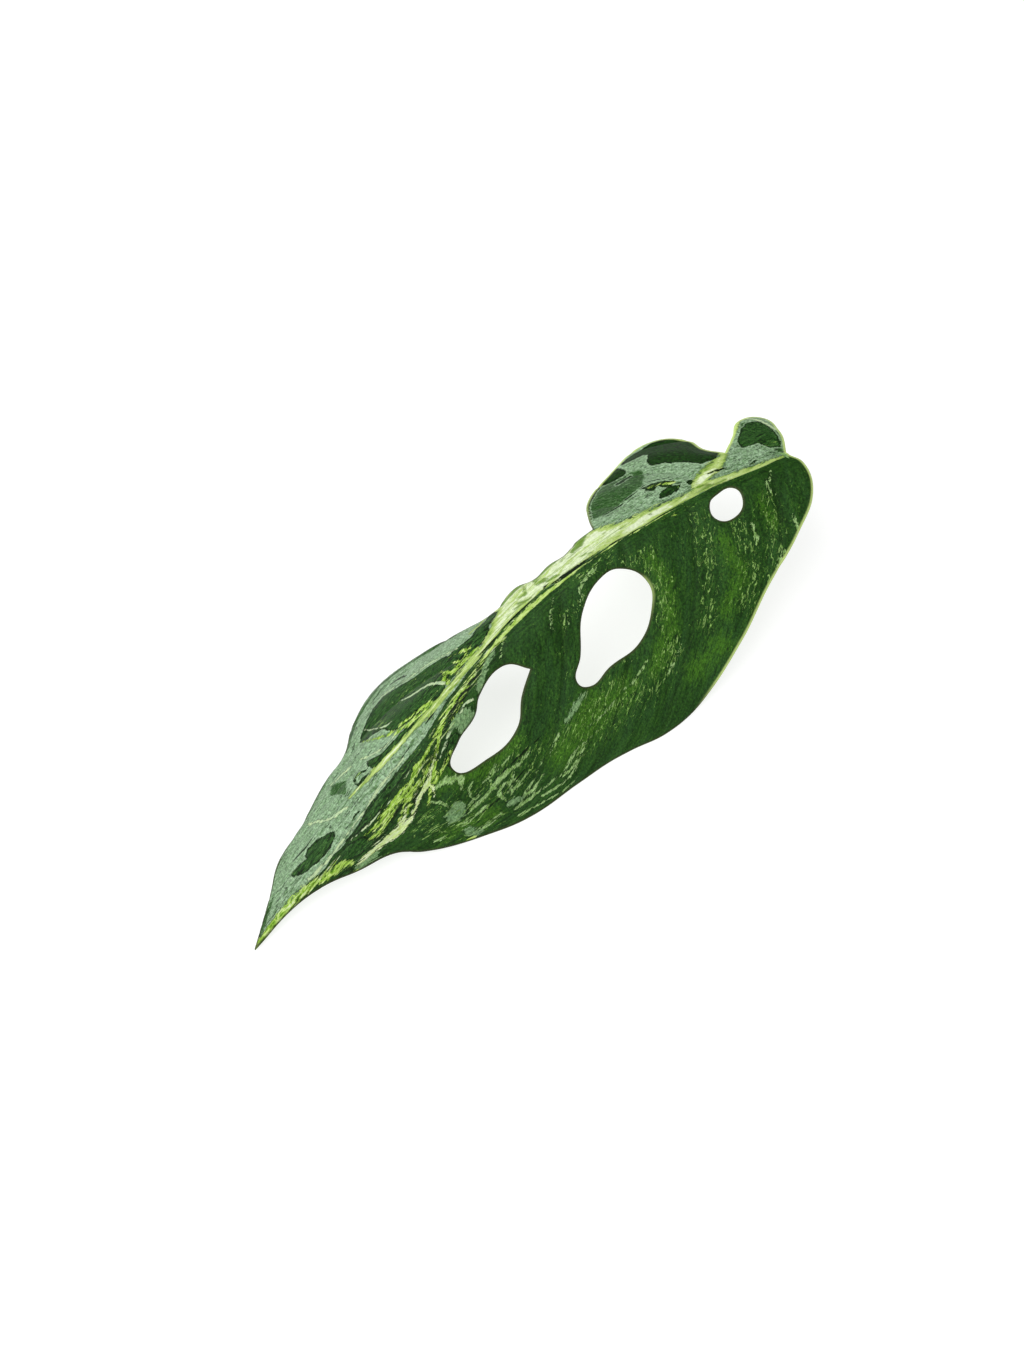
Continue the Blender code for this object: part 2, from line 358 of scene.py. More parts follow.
def cut(target, operation, tool):
    step = target.modifiers.new(operation, "BOOLEAN")
    step.operation = operation
    step.solver = "EXACT"
    step.object = tool
    data = evaluated_mesh(target)
    target.modifiers.clear()
    target.data = data
    bpy.data.objects.remove(tool)


blade = flat_sheet()
cut(blade, "INTERSECT", outline_solid("outline", BLADE_OUTLINE, BLADE_CORNERS))
for name, points, corners in HOLES:
    cut(blade, "DIFFERENCE", outline_solid(name, points, corners))
print("flat blade:", len(blade.data.vertices), "points,", len(blade.data.polygons), "faces")

# %% [markdown]
# Each point now needs to know where it is on the leaf: how far along, how far across, on the
# upper or the lower side, and how near it is to a margin. The margin's points are those of the
# upright cut faces, and a k-d tree finds the nearest one quickly.

# %% Read the flat blade
flat = np.zeros(len(blade.data.vertices) * 3)
blade.data.vertices.foreach_get("co", flat)
flat = flat.reshape(-1, 3)
along, across = flat[:, 0], flat[:, 1]
on_top = flat[:, 2] > BLADE_THICKNESS / 2

cut_points = set()
for face in blade.data.polygons:
    if abs(face.normal.z) < 0.5:
        cut_points.update(face.vertices)
tree = KDTree(len(cut_points))
for index in cut_points:
    tree.insert(Vector((flat[index, 0], flat[index, 1], 0)), index)
tree.balance()
rim = np.array([tree.find(Vector((a, c, 0)))[2] for a, c in zip(along, across)]) / MM
print("margin points:", len(cut_points), "widest reach from a margin, mm:", round(rim.max(), 1))

# %% [markdown]
# Bending the sheet. The upper side is quilted: it swells between the side veins and dips along
# them. The lower side has the veins as low ribs, and the midrib as a thick keel. The margin
# thins to a rounded edge and waves a little, as a leaf's margin does.

# %% Bend the blade
QUILT_HEIGHT = 0.00045
VEIN_DIP = 0.00022
VEIN_RIB = 0.00028
EDGE_THICKNESS = 0.00022
EDGE_ROUNDING = 0.6
WAVE_HEIGHT = 0.0006
WAVE_LENGTHS = (6.3, 14.7)
WAVE_STARTS = (2.1, 1.3)
KEEL_TAPER = 0.8
KEEL_LEAST = 0.15

along_mm, across_mm = along / MM, across / MM
away_mm = np.abs(across_mm)
away_flow = spread_away(along_mm, across_mm)
root = vein_root(along_mm, away_flow)
right_quilt, right_vein = vein_relief(root, away_mm, RIGHT_VEINS)
left_quilt, left_vein = vein_relief(root, away_mm, LEFT_VEINS)
quilt = np.where(across < 0, right_quilt, left_quilt)
vein = np.where(across < 0, right_vein, left_vein)
side_start = np.where(across < 0, 0.0, WAVE_STARTS[0])
wave = np.sin(along_mm / WAVE_LENGTHS[0] + side_start)
wave = wave * np.sin(along_mm / WAVE_LENGTHS[1] + WAVE_STARTS[1])
wave = WAVE_HEIGHT * wave * smooth_step(6.0, 26.0, away_mm) * smooth_step(9.0, 1.0, rim)
relief = QUILT_HEIGHT * quilt * smooth_step(0.0, 3.0, rim) + wave


def bent(along_at, across_at):
    return sheet_place(along_at, across_at, relief)


lengthwise = bent(along + NUDGE, across) - bent(along - NUDGE, across)
crosswise = bent(along, across + NUDGE) - bent(along, across - NUDGE)
normal = np.cross(crosswise, lengthwise)
normal /= np.linalg.norm(normal, axis=1, keepdims=True)

rounding = np.sqrt(1 - (1 - np.clip(rim / EDGE_ROUNDING, 0, 1)) ** 2)
thickness = EDGE_THICKNESS + (BLADE_THICKNESS - EDGE_THICKNESS) * rounding
middle = BLADE_THICKNESS / 2
taper = np.clip(1 - KEEL_TAPER * along / BLADE_LENGTH, KEEL_LEAST, 1)
keel = KEEL_DEPTH * taper * np.exp(-((across / (KEEL_WIDTH * np.sqrt(taper))) ** 2))
upper = middle + thickness / 2 - VEIN_DIP * vein
lower = middle - thickness / 2 - VEIN_RIB * vein * smooth_step(0.2, 1.5, rim) - keel
lift = np.where(on_top, upper, lower)
grown = bent(along, across) + normal * lift[:, None]
grown[:, 2] = np.maximum(grown[:, 2], np.where(on_top, thickness, 0.0))
blade.data.vertices.foreach_set("co", grown.ravel())
blade.data.update()
blade.data.shade_smooth()
print("blade stands", round(1000 * grown[:, 2].max(), 1), "mm high")

# %% [markdown]
# The marbling. A variegated leaf has cells without green pigment in patches that follow its
# veins. Each mark here is a stroke on the flat leaf, points in millimetres as (along, across, half
# width), or a patch, the (along, across) points of its outline. A mark's cover is positive inside
# it and negative outside, and the material adds noise to it before it asks which it is. So the
# lists only hold places and sizes, and the ragged fringes grow by themselves.
#
# First the crease of the midrib, where the two halves meet: the line that parts them, the thin
# dark line of painted shadow in its groove, with a few more painted shadow lines in other creases and
# folds, and the pale line to its right.

# %% The crease
CREASE_LINE = ((-3, -0.3), (8, -1), (21, -0.7), (29, -1), (41, -1.4), (53, -0.5), (61, -0.1), (66, 0.1),
               (70, 0.8), (80, 0.9), (86, 0.4), (92, 0.1), (100, 0), (168, 0))
# Dark lines painted as shadow: the shade in the midrib's groove, and in a few other creases and folds.
CREASE_SHADOWS = (
    ((-1, -0.4, 0.1), (8, -1, 0.12), (21, -0.7, 0.14), (29, -1, 0.16), (41, -1.4, 0.18),
     (50, -0.6, 0.2), (53, -0.3, 0.22), (57, -0.25, 0.3), (62, 0, 0.3), (65.5, 0.2, 0.22),
     (69.1, 1, 0.15), (72.9, 0.9, 0.2), (74.8, 0.9, 0.34), (79.2, 1, 0.34), (81.3, 1.1, 0.22),
     (84.8, 0.6, 0.2), (88.5, 0.4, 0.2), (96, 0.1, 0.12)),
    ((66.2, 1.3, 0.15), (68.8, 1.6, 0.25)),
    ((46.5, 8.4, 0.15), (43.4, 7.9, 0.28), (39.4, 8.6, 0.28), (34.7, 9.1, 0.22), (32, 9.8, 0.18),
     (29.5, 8.4, 0.18), (27, 7, 0.12)),
    ((20.1, 3.2, 0.15), (17.7, 3, 0.28), (15.5, 2.8, 0.2)),
    ((84, -0.9, 0.15), (92, -1.7, 0.22), (100, -2.9, 0.25), (107, -3.9, 0.2)),
    ((93, -2.6, 0.15), (99, -3.8, 0.25), (104, -4.6, 0.2)),
    ((104, 0.2, 0.12), (112, -0.4, 0.18), (120, -0.9, 0.12)),
    ((108, -21.8, 0.15), (98, -23.6, 0.25), (90, -24.6, 0.15)),
    ((116, -24, 0.15), (108, -26.2, 0.2), (99, -26.6, 0.15)),
)
PALE_LINE = (
    ((30, -1.5, 0.1), (41, -1.9, 0.15), (53, -1, 0.22), (62, -0.7, 0.3), (70, -0.3, 0.45),
     (75, -0.2, 0.45), (79, -0.3, 0.45), (86, -0.4, 0.4), (92, -0.9, 0.25), (100, -1.6, 0.25),
     (108, -2.7, 0.2)),
)
print("crease lines:", len(CREASE_SHADOWS) + len(PALE_LINE))

# %% [markdown]
# The palest tissue: cream in the narrow strip and beside the midrib, with olive spots in it and
# olive painted shade where the strip's margin folds, the cream threads of the right half, and the pale
# side veins.

# %% Cream, olive and pale veins
CREAM = (
    ((78.5, 6.8, 0.4), (79.6, 8.6, 0.45), (81.9, 8.8, 0.35), (84.2, 8.3, 0.3), (87, 8.9, 0.2)),
    ((100, 0.8, 0.9), (106, 0.9, 1), (111, 1.5, 0.9), (117, 2.2, 0.8), (124, 3.4, 0.7), (131, 4.8, 0.4)),
    ((13, 6.6, 0.4), (9.7, 9.8, 0.45), (6.3, 12.6, 0.45), (3.5, 15.2, 0.4)),
)
CREAM_PATCHES = (
    ((-1, -0.6), (8, -1.2), (21, -0.9), (29, -1.2), (41, -1.6), (53, -0.7), (62, -0.3), (66, 0),
     (70, 0.8), (80, 0.9), (86, 0.3), (92, -0.2), (97, -0.3), (102, -0.8), (103.6, 0), (102, 0.9),
     (99.3, 1.6), (92, 2.2), (88, 2.2), (84, 3.8), (81, 5.4), (79, 7), (77, 9.6), (68, 8), (60, 7.5),
     (52, 7.5), (49.3, 5.2), (45, 2.9), (38.6, 2.2), (35.1, 1.8), (30.1, 0.9), (27.1, 1), (24.4, 0.9),
     (21.7, 1.5), (14.5, 0.7), (7, 0.3), (0, 0.2)),
    ((24.6, 0.8), (25.4, 2.2), (22.6, 4.2), (20.3, 4.9), (18, 5.2), (16.6, 5.8), (13.6, 7.6), (12.2, 8),
     (12.6, 6.2), (15.2, 3.6), (18.7, 2.2), (21.2, 1.5)),
)
# Olive spots in the cream, and olive painted shade along the strip's folding margin.
OLIVE = (
    ((55.7, 6, 0.3), (53.5, 6.3, 0.5), (51.5, 6.5, 0.3)),
    ((69.2, 4.2, 0.3), (67.9, 4, 0.5), (67, 3.3, 0.3)),
    ((66.9, 2.2, 0.3), (65.5, 1.8, 0.5), (64.2, 1.4, 0.3)),
    ((71.3, 6.3, 0.3), (72.6, 4, 0.35)),
    ((75.8, 3.7, 0.3), (74.5, 2.7, 0.35), (73.1, 1.9, 0.25)),
    ((57.6, 1.8, 0.2), (56, 1.2, 0.3), (54.9, 0.4, 0.2)),
    ((38.4, 0.6, 0.15), (37.6, 0.5, 0.15)),
    ((35.6, 0.9, 0.15), (36.2, 0.8, 0.15)),
    ((24, 1, 0.3), (21.5, 0.6, 0.3)),
    ((46, 1.6, 0.2), (44.5, 1.4, 0.2)),
    ((28, 0.2, 0.15), (22, -0.1, 0.2), (17, -0.2, 0.15)),
    ((60, 4.6, 0.2), (61.5, 4.4, 0.2)),
    ((49, 3.2, 0.15), (50, 3, 0.2)),
    ((53, 6, 0.5), (55.4, 5.2, 0.9), (58, 4.4, 0.4)),
    ((61.6, 5.6, 0.35), (64, 5.8, 0.5), (67, 5.5, 0.6), (69, 5.2, 0.4)),
    ((67.4, 3, 0.4), (68.8, 4, 0.8), (68.4, 4.8, 0.4)),
    ((70, 7.4, 0.4), (72.6, 8, 0.5), (76, 7.8, 0.4), (78.2, 7.8, 0.3)),
    ((72.4, 4.2, 0.3), (74.4, 5, 0.3)),
    ((72.4, 1.9, 0.2), (75.4, 2.5, 0.3), (77.4, 3, 0.15)),
)
CREAM_RIGHT = (
    ((116.4, -9.2, 0.2), (118.2, -9.8, 0.65), (120.5, -9.9, 0.5), (123.6, -11, 0.35),
     (126.7, -11.6, 0.4), (128.7, -11.2, 0.85), (132.4, -9.9, 0.6), (135.3, -9, 0.45),
     (138.2, -8.2, 0.35), (141, -7.6, 0.15)),
    ((124.6, -8.8, 0.2), (127.2, -10.3, 0.35), (128.8, -10.6, 0.4)),
    ((118.2, -9.8, 0.4), (115.6, -8.4, 0.3), (112.5, -7.4, 0.2)),
    ((118.2, -9.8, 0.4), (117.6, -11.4, 0.3), (119.4, -13.4, 0.15)),
)
PALE_VEINS = (
    ((99.5, 3.1, 0.4), (100.4, 5.3, 0.45), (101.4, 7.7, 0.35), (103, 9, 0.35), (105.1, 10.5, 0.3),
     (106.6, 12.8, 0.2)),
    ((115.6, 18.2, 0.15), (114.8, 14.3, 0.25), (114, 11.6, 0.25), (113.1, 10.3, 0.3), (111.7, 9.9, 0.15)),
    ((122.2, 10.7, 0.2), (121, 8.9, 0.35), (119.7, 7, 0.3), (118.6, 6, 0.25), (116.6, 5.4, 0.25),
     (114.9, 5.4, 0.3), (113.6, 5.4, 0.3), (111.2, 4.2, 0.3)),
    ((124.7, 12.1, 0.25), (127.5, 13.4, 0.3), (130.3, 14.7, 0.2)),
    ((133, 3.4, 0.4), (135.2, 4.7, 0.4), (137, 6.2, 0.35), (138.6, 10, 0.35), (139.7, 12.6, 0.2)),
    ((118.7, -4.7, 0.15), (123.9, -4.6, 0.15), (127, -5, 0.18), (133.4, -4.3, 0.18), (138, -2.9, 0.12)),
    ((118, -1.2, 0.2), (126, -0.7, 0.25), (134, -1.3, 0.2), (142, -1.4, 0.3), (150, -0.2, 0.35)),
    ((107, -6.4, 0.35), (108.5, -6.8, 0.3), (110.1, -7.7, 0.25), (112.3, -8.3, 0.2)),
    ((102.5, -5.5, 0.3), (100.3, -5, 0.25), (98.1, -5.8, 0.2)),
    ((91, 8.4, 0.2), (94, 11.4, 0.2), (97.4, 14.4, 0.25), (101, 16.4, 0.2), (104, 19.2, 0.2),
     (107.6, 21.8, 0.2)),
    ((1.4, 15.9, 0.3), (-0.9, 13.2, 0.4), (-1.9, 9.6, 0.4), (-2.4, 7.7, 0.3)),
)
print("cream marks:", len(CREAM) + len(CREAM_PATCHES) + len(CREAM_RIGHT))

# %% [markdown]
# Grey-green tissue has some pigment. It is a band along the midrib near the tip, darker sage
# patches on the left half and a few patches on the right one.

# %% Grey-green tissue
BAND = (
    ((94, 0.4), (97, -0.3), (102.3, -0.6), (106.7, -1.4), (111.3, -2.2), (117.6, -2.2), (122.3, -1.9),
     (126.8, -1.5), (130.7, -1.1), (132.5, -1.8), (135.9, -2.2), (140.3, -2.2), (143.3, -1.4),
     (146, -1.8), (151.8, -0.2), (155.4, 0.8), (160, 1.2), (168, 1.2), (168, 2), (94, 2)),
)
SAGE = (
    ((77, 9.2, 0.4), (88, 14.4, 0.6), (97, 22.2, 0.6), (104, 26, 0.6), (113, 24.4, 0.6),
     (121, 18.8, 0.6), (130, 17.6, 0.5), (140, 14.4, 0.4)),
    ((157, 6, 0.3), (163, 3, 0.8), (168, 0.6, 0.6)),
)
SAGE_PATCHES = (
    ((39.5, 20.6), (36.5, 18.6), (32.5, 16.9), (30.4, 15.8), (31.5, 12.6), (34.5, 9.6), (39.2, 9),
     (43.2, 8.3), (47.5, 8.8), (50, 12)),
    ((3.3, 14.3), (1.8, 14.2), (-0.5, 11.4), (-1.6, 7.9), (-2.1, 6.5), (-1.2, 3.5), (0, 1), (1.6, 2),
     (2.4, 3.1), (4.4, 5.7), (7.9, 6.1), (9.5, 7.3), (7.5, 9.6), (5.2, 11.8)),
    ((129.9, 14.2), (127.7, 10.2), (130.7, 6.5), (131.8, 11.9)),
)
GREY_PATCHES = (
    ((75.2, -24.9), (78, -24.9), (81.5, -25.4), (84.4, -26.3), (84, -27.2), (80.6, -26.6), (77, -25.8)),
    ((116, -18), (115, -19), (115.4, -20.9), (116.4, -22), (118.8, -21), (121.2, -19.7), (120.5, -18),
     (118.3, -17.8)),
    ((86.5, -0.6), (87.5, -2.3), (91, -3.4), (93.9, -5.3), (96.6, -6), (96.1, -4.6), (93.4, -3),
     (90.4, -1.5), (88, -0.7)),
    ((102.7, -5), (100.4, -5.9), (99.6, -8.9), (104, -9.2), (105.8, -8.4), (105.3, -7), (107.2, -6.3),
     (105.6, -5.2)),
    ((103.2, -30.6), (105.4, -28.8), (107.4, -27.8), (108, -28.6), (106.6, -29.6), (104.8, -30.4)),
    ((119.5, -23.4), (117.3, -24.3), (116.8, -26), (116, -28.3), (118.4, -26.4), (119.6, -24.8)),
    ((136, -9.3), (138.4, -8.1), (140.3, -7.4), (141.8, -7.3), (142.2, -8.6), (139, -9.8), (136, -11)),
)
print("grey patches:", len(SAGE_PATCHES) + len(GREY_PATCHES))

# %% [markdown]
# Lime threads make a net where cream and green meet. They are thin, so their noise tears them into
# short pieces.

# %% Lime threads
LIME = (
    ((19, 4.9, 0.5), (16.4, 5.2, 0.7), (14.4, 6, 0.7), (13, 6.9, 0.4)),
    ((33.8, 7.6, 0.15), (31.6, 7, 0.2), (29.4, 5.8, 0.2), (27.6, 4.9, 0.15)),
    ((88.5, 2, 0.5), (89.8, 3, 0.4), (91.3, 2.9, 0.4), (92.7, 3, 0.5), (93.7, 4.7, 0.3),
     (94.4, 6.1, 0.2)),
    ((92.7, 3, 0.5), (94.6, 3.7, 0.4), (96, 3.3, 0.4), (96.6, 3.9, 0.5), (97.5, 5.8, 0.35),
     (97.3, 8.3, 0.2)),
    ((97.5, 5.8, 0.3), (98.8, 4.2, 0.4), (99.2, 2.1, 0.4)),
    ((90, 4.4, 0.25), (91.2, 6, 0.25), (92, 6.8, 0.2), (93.6, 8.5, 0.12)),
    ((90, 5.3, 0.2), (91.8, 4, 0.25), (93.3, 4.4, 0.2)),
    ((103.2, 1.4, 0.4), (105.6, 2.2, 0.5), (108.2, 3.2, 0.5), (111.4, 3.9, 0.45), (114.4, 5.6, 0.3)),
    ((104.6, 2.6, 0.2), (107.2, 4.2, 0.3), (109.6, 5, 0.25), (112.4, 6.6, 0.2)),
    ((113, 5.8, 0.3), (115.6, 8.8, 0.35), (117.4, 12, 0.3), (118.4, 15, 0.2)),
    ((106, 0.5, 0.3), (112, 1.5, 0.5), (118, 2.5, 0.5), (124, 3.7, 0.4)),
    ((88, -0.6, 0.2), (91.1, -1.3, 0.25), (97.1, -2, 0.35), (101.8, -2.5, 0.4), (106.4, -3.4, 0.45),
     (109.7, -4, 0.45), (113.4, -5, 0.45), (116.5, -5.4, 0.5), (119, -6.2, 0.45)),
    ((106.4, -3.8, 0.3), (109.4, -5.2, 0.35), (113.1, -7.6, 0.4), (115.9, -9.6, 0.5)),
    ((117.5, -4.9, 0.35), (120.1, -6.4, 0.45), (124, -6.9, 0.5), (127.6, -6.1, 0.5), (130.4, -6.3, 0.5),
     (133.1, -5.7, 0.4), (135.3, -4.9, 0.2)),
    ((119.4, -8, 0.3), (121.9, -7.9, 0.4), (124.1, -9.3, 0.45), (127, -10.4, 0.3)),
    ((127.5, -7.2, 0.3), (130.7, -7.5, 0.35), (133.1, -7.5, 0.3), (135.5, -6.3, 0.2)),
    ((121, -13, 0.2), (117.6, -10.4, 0.5), (115.2, -9.4, 0.5), (113.4, -8, 0.3)),
    ((141.5, -6, 0.5), (143.4, -4.5, 0.7), (145.8, -3.9, 0.6), (149.2, -2.1, 0.8), (152.6, -0.5, 0.9),
     (157, 0, 0.9), (163, 0.2, 0.8), (168, 0.2, 0.4)),
    ((141.4, -8.4, 0.2), (143.6, -8, 0.3), (146.6, -6.2, 0.3), (149, -4.4, 0.3)),
    ((113, -6.8, 0.2), (116, -7.4, 0.4), (119.6, -9, 0.3)),
    ((123, -7.8, 0.25), (126.4, -8.8, 0.35), (128.4, -10, 0.25)),
    ((121.6, -5.8, 0.2), (126, -5.6, 0.25), (131, -5.2, 0.2)),
    ((109.6, -9.4, 0.15), (113.6, -10.6, 0.3), (117, -11, 0.35)),
    ((33.7, -3.7, 0.15), (32.8, -3.2, 0.2)),
    ((119.9, -25.8, 0.25), (118.4, -27.2, 0.25)),
    ((96.9, -2.8, 0.15), (101, -4, 0.25), (104.6, -4.9, 0.15)),
)
print("lime threads:", len(LIME))

# %% [markdown]
# On the right half, pale streaks follow the side veins. Some stretches glow in a warmer green, and
# some are rich in fine flecks; these two are wide soft strokes, which only change how likely a
# fleck or a warm spot is there.

# %% Streaks, glow and flecks
STREAKS = (
    ((5.9, -3.3, 0.2), (7.1, -5.3, 0.25), (8.3, -5.4, 0.35), (8.6, -7.8, 0.3), (7.5, -9.3, 0.15)),
    ((111.2, -21.4, 0.2), (113.9, -21, 0.25), (115.8, -21.1, 0.2)),
    ((94.8, -24.6, 0.15), (98.8, -24.7, 0.3), (102.2, -23.8, 0.3), (105.7, -23.1, 0.7),
     (108.2, -23.1, 0.45), (112.3, -22.5, 0.3), (116.3, -21.9, 0.3), (121.1, -19.4, 0.2)),
    ((111.4, -24.7, 0.45), (114.4, -23.8, 0.3), (116.9, -23.1, 0.35), (118.7, -22.6, 0.3)),
    ((109.9, -28.9, 0.2), (113.3, -27.6, 0.25), (116.2, -26.8, 0.3), (117.9, -24.9, 0.3)),
    ((94.5, -28.6, 0.12), (96.8, -29.2, 0.22), (100.8, -30, 0.25), (103.6, -30.1, 0.2)),
    ((93, -34, 0.12), (95.7, -33.7, 0.22), (101, -32.4, 0.3), (104.7, -31.3, 0.45), (106.9, -30.8, 0.4)),
    ((82.9, -34.3, 0.15), (85.3, -35.2, 0.25), (88.8, -35.5, 0.3), (91.3, -35.3, 0.3),
     (93.1, -34.9, 0.15)),
    ((83, -32.6, 0.12), (85, -33, 0.2), (89.1, -33.8, 0.25), (93.1, -34.9, 0.15)),
    ((103.4, -20.3, 0.25), (105.7, -20.5, 0.3), (108, -22.4, 0.3), (107.2, -24.2, 0.25)),
    ((103.2, -22.8, 0.25), (99.5, -24.9, 0.25)),
    ((102.3, -26.7, 0.25), (105.3, -24.9, 0.35), (107.8, -25.3, 0.45), (107.4, -27.6, 0.3)),
    ((87, -27.4, 0.25), (90.5, -28.1, 0.2), (92, -29.2, 0.15)),
    ((90, -38.4, 0.1), (95.8, -38, 0.2), (101.6, -35.6, 0.25), (107.8, -33, 0.25)),
    ((118.1, -11.8, 0.3), (114.6, -13, 0.8), (111.9, -15.4, 0.7), (113.4, -17.4, 0.35)),
    ((123.2, -20.9, 0.15), (124.5, -20.2, 0.2), (125.8, -19, 0.15)),
    ((69.3, -2.9, 0.2), (71.6, -4.8, 0.22), (73.8, -7.7, 0.2), (73.8, -8.7, 0.28)),
    ((55.9, -3.3, 0.25), (58.4, -4.1, 0.35), (60.8, -4.5, 0.3), (63.1, -5.3, 0.35), (63.5, -7.2, 0.3),
     (65.4, -8.2, 0.2)),
    ((69.3, -8.2, 0.25), (69.5, -10, 0.3)),
    ((84, -1.6, 0.2), (86, -2.7, 0.22), (87.7, -4.2, 0.15)),
    ((16.5, -13.6, 0.2), (16.8, -15.6, 0.35), (16.6, -17.8, 0.5), (17.5, -19, 0.2)),
    ((5.6, -15.5, 0.15), (5.6, -18.5, 0.35), (6.5, -21, 0.3)),
    ((11, -22.8, 0.2), (13.4, -24.8, 0.5), (15, -26, 0.2)),
    ((86.5, -9.2, 0.4), (85, -9.6, 0.3)),
    ((100, -21.6, 0.15), (104, -21.4, 0.2), (109, -20.2, 0.15)),
    ((110, -17.8, 0.2), (112.4, -18.8, 0.3), (113, -20.4, 0.2)),
    ((98, -27.4, 0.12), (102.4, -27.8, 0.25), (106, -27, 0.3)),
    ((96, -31, 0.12), (100.4, -31.2, 0.22), (104.4, -30.2, 0.3)),
    ((88, -36.8, 0.12), (94, -36.2, 0.2), (100, -34.2, 0.2)),
    ((101.6, -25.2, 0.2), (104.2, -26.2, 0.35), (105.2, -28, 0.3)),
    ((78, -33.4, 0.1), (84, -34, 0.15), (89, -34.6, 0.12)),
    ((120.8, -12.6, 0.2), (119, -15, 0.3), (118.2, -17.4, 0.25)),
    ((70, -31.6, 0.1), (75, -32, 0.18), (80, -31.6, 0.1)),
    ((46.6, -31, 0.1), (51, -33.6, 0.2), (56, -35.6, 0.1)),
    ((57, -29.2, 0.1), (63, -31, 0.2), (68, -31.2, 0.1)),
)
GLOW = (
    ((66, -31, 3), (76, -31, 4), (90, -30.5, 3.5)),
    ((74, -27.5, 2), (80, -28.5, 3)),
    ((44, -9, 1.5), (43, -16, 2), (47, -26, 2), (56, -32, 2)),
    ((25, -14, 1.5), (24, -24, 2), (32, -30, 1.5)),
    ((12, -9, 1), (11, -16, 1.4)),
    ((96, -20.6, 1.6), (106, -19.4, 1.8), (116, -12, 2)),
    ((124, -20, 1), (112, -27, 2)),
    ((98, 8.4, 1.6), (106, 16, 2.4), (113, 14, 2.4)),
    ((47, -38, 2), (36, -36, 2)),
)
FLECKS = (
    ((62, -3, 1.4), (52, -4.2, 2), (45, -9, 2.6), (44, -17, 2.2), (48, -25, 2)),
    ((28, -6, 2.6), (30, -14, 2.6), (32, -22, 2.4), (38, -30, 2.2)),
    ((20, -14, 2.4), (20, -22, 3), (26, -30, 2.6)),
    ((48, -30, 2.6), (58, -34, 2.8), (72, -34, 3), (84, -33, 3)),
    ((66, -28.6, 1.6), (76, -29.4, 2.2), (90, -28.4, 2.4)),
    ((10, -10, 2), (12, -18, 2.6), (16, -26, 2)),
    ((96, -26, 4), (110, -24, 5), (120, -18, 4), (126, -14, 2)),
    ((66, -8, 1.4), (70, -9, 1.4)),
    ((96, 9, 2), (104, 12, 3.6), (113, 12, 3.6)),
    ((118, 8, 1.6), (126, 9, 2.4), (136, 8, 2.4)),
    ((112, -4, 2), (124, -6, 2.4), (134, -6, 1.6)),
)
print("streaks:", len(STREAKS))

# %% [markdown]
# The dark islands are the places on the left half that kept their full green, and the last list
# says where long fibres run beside the midrib.

# %% Dark islands and fibres
DARK = (
    ((103.3, 22.3, 0.3), (102.2, 21.1, 0.45), (101, 20.2, 0.5), (100.6, 18.6, 0.3)),
    ((149.6, 7.7, 0.2), (147.7, 8.1, 0.3), (145.3, 7.3, 0.3), (141.7, 7.1, 0.15)),
    ((124.3, 5.9, 0.3), (125.8, 7.8, 0.35), (127.2, 7.3, 0.35), (128.1, 5.1, 0.3), (126.4, 4.9, 0.35),
     (124.6, 4.6, 0.3)),
    ((126, 5.4, 0.3), (129.1, 5, 0.25), (130.5, 4.6, 0.1)),
    ((131.3, -0.2, 0.12), (134.3, 0, 0.22), (137.3, -0.1, 0.15)),
    ((7, 1.7, 0.3), (8, 1.5, 0.35), (9.3, 0.9, 0.25)),
    ((48.5, 9.6, 0.2), (45.5, 15.6, 0.35), (41.5, 18.6, 0.4), (38.6, 20.2, 0.4)),
    ((37, 15.8, 0.5), (33.4, 16, 0.5)),
    ((67.3, 6.6, 0.15), (64.5, 6.9, 0.25), (61.5, 6.4, 0.15)),
    ((92.8, -1.7, 0.15), (96.5, -2.6, 0.2), (98.8, -3.3, 0.25), (101.7, -3.6, 0.4), (105.4, -4.6, 0.5)),
    ((105.2, -4.8, 0.3), (108.4, -5.2, 0.4), (110.7, -5.6, 0.3), (113.5, -6.2, 0.2)),
    ((112.5, -4.2, 0.2), (118, -3.4, 0.3), (123, -3, 0.3)),
    ((121, -7.2, 0.2), (125.5, -7.9, 0.4), (129.4, -8.4, 0.5)),
    ((118.6, -8.6, 0.2), (122.4, -9.4, 0.4), (125.6, -10.3, 0.2)),
    ((36.2, 8.4, 0.15), (33.6, 8.9, 0.2)),
)
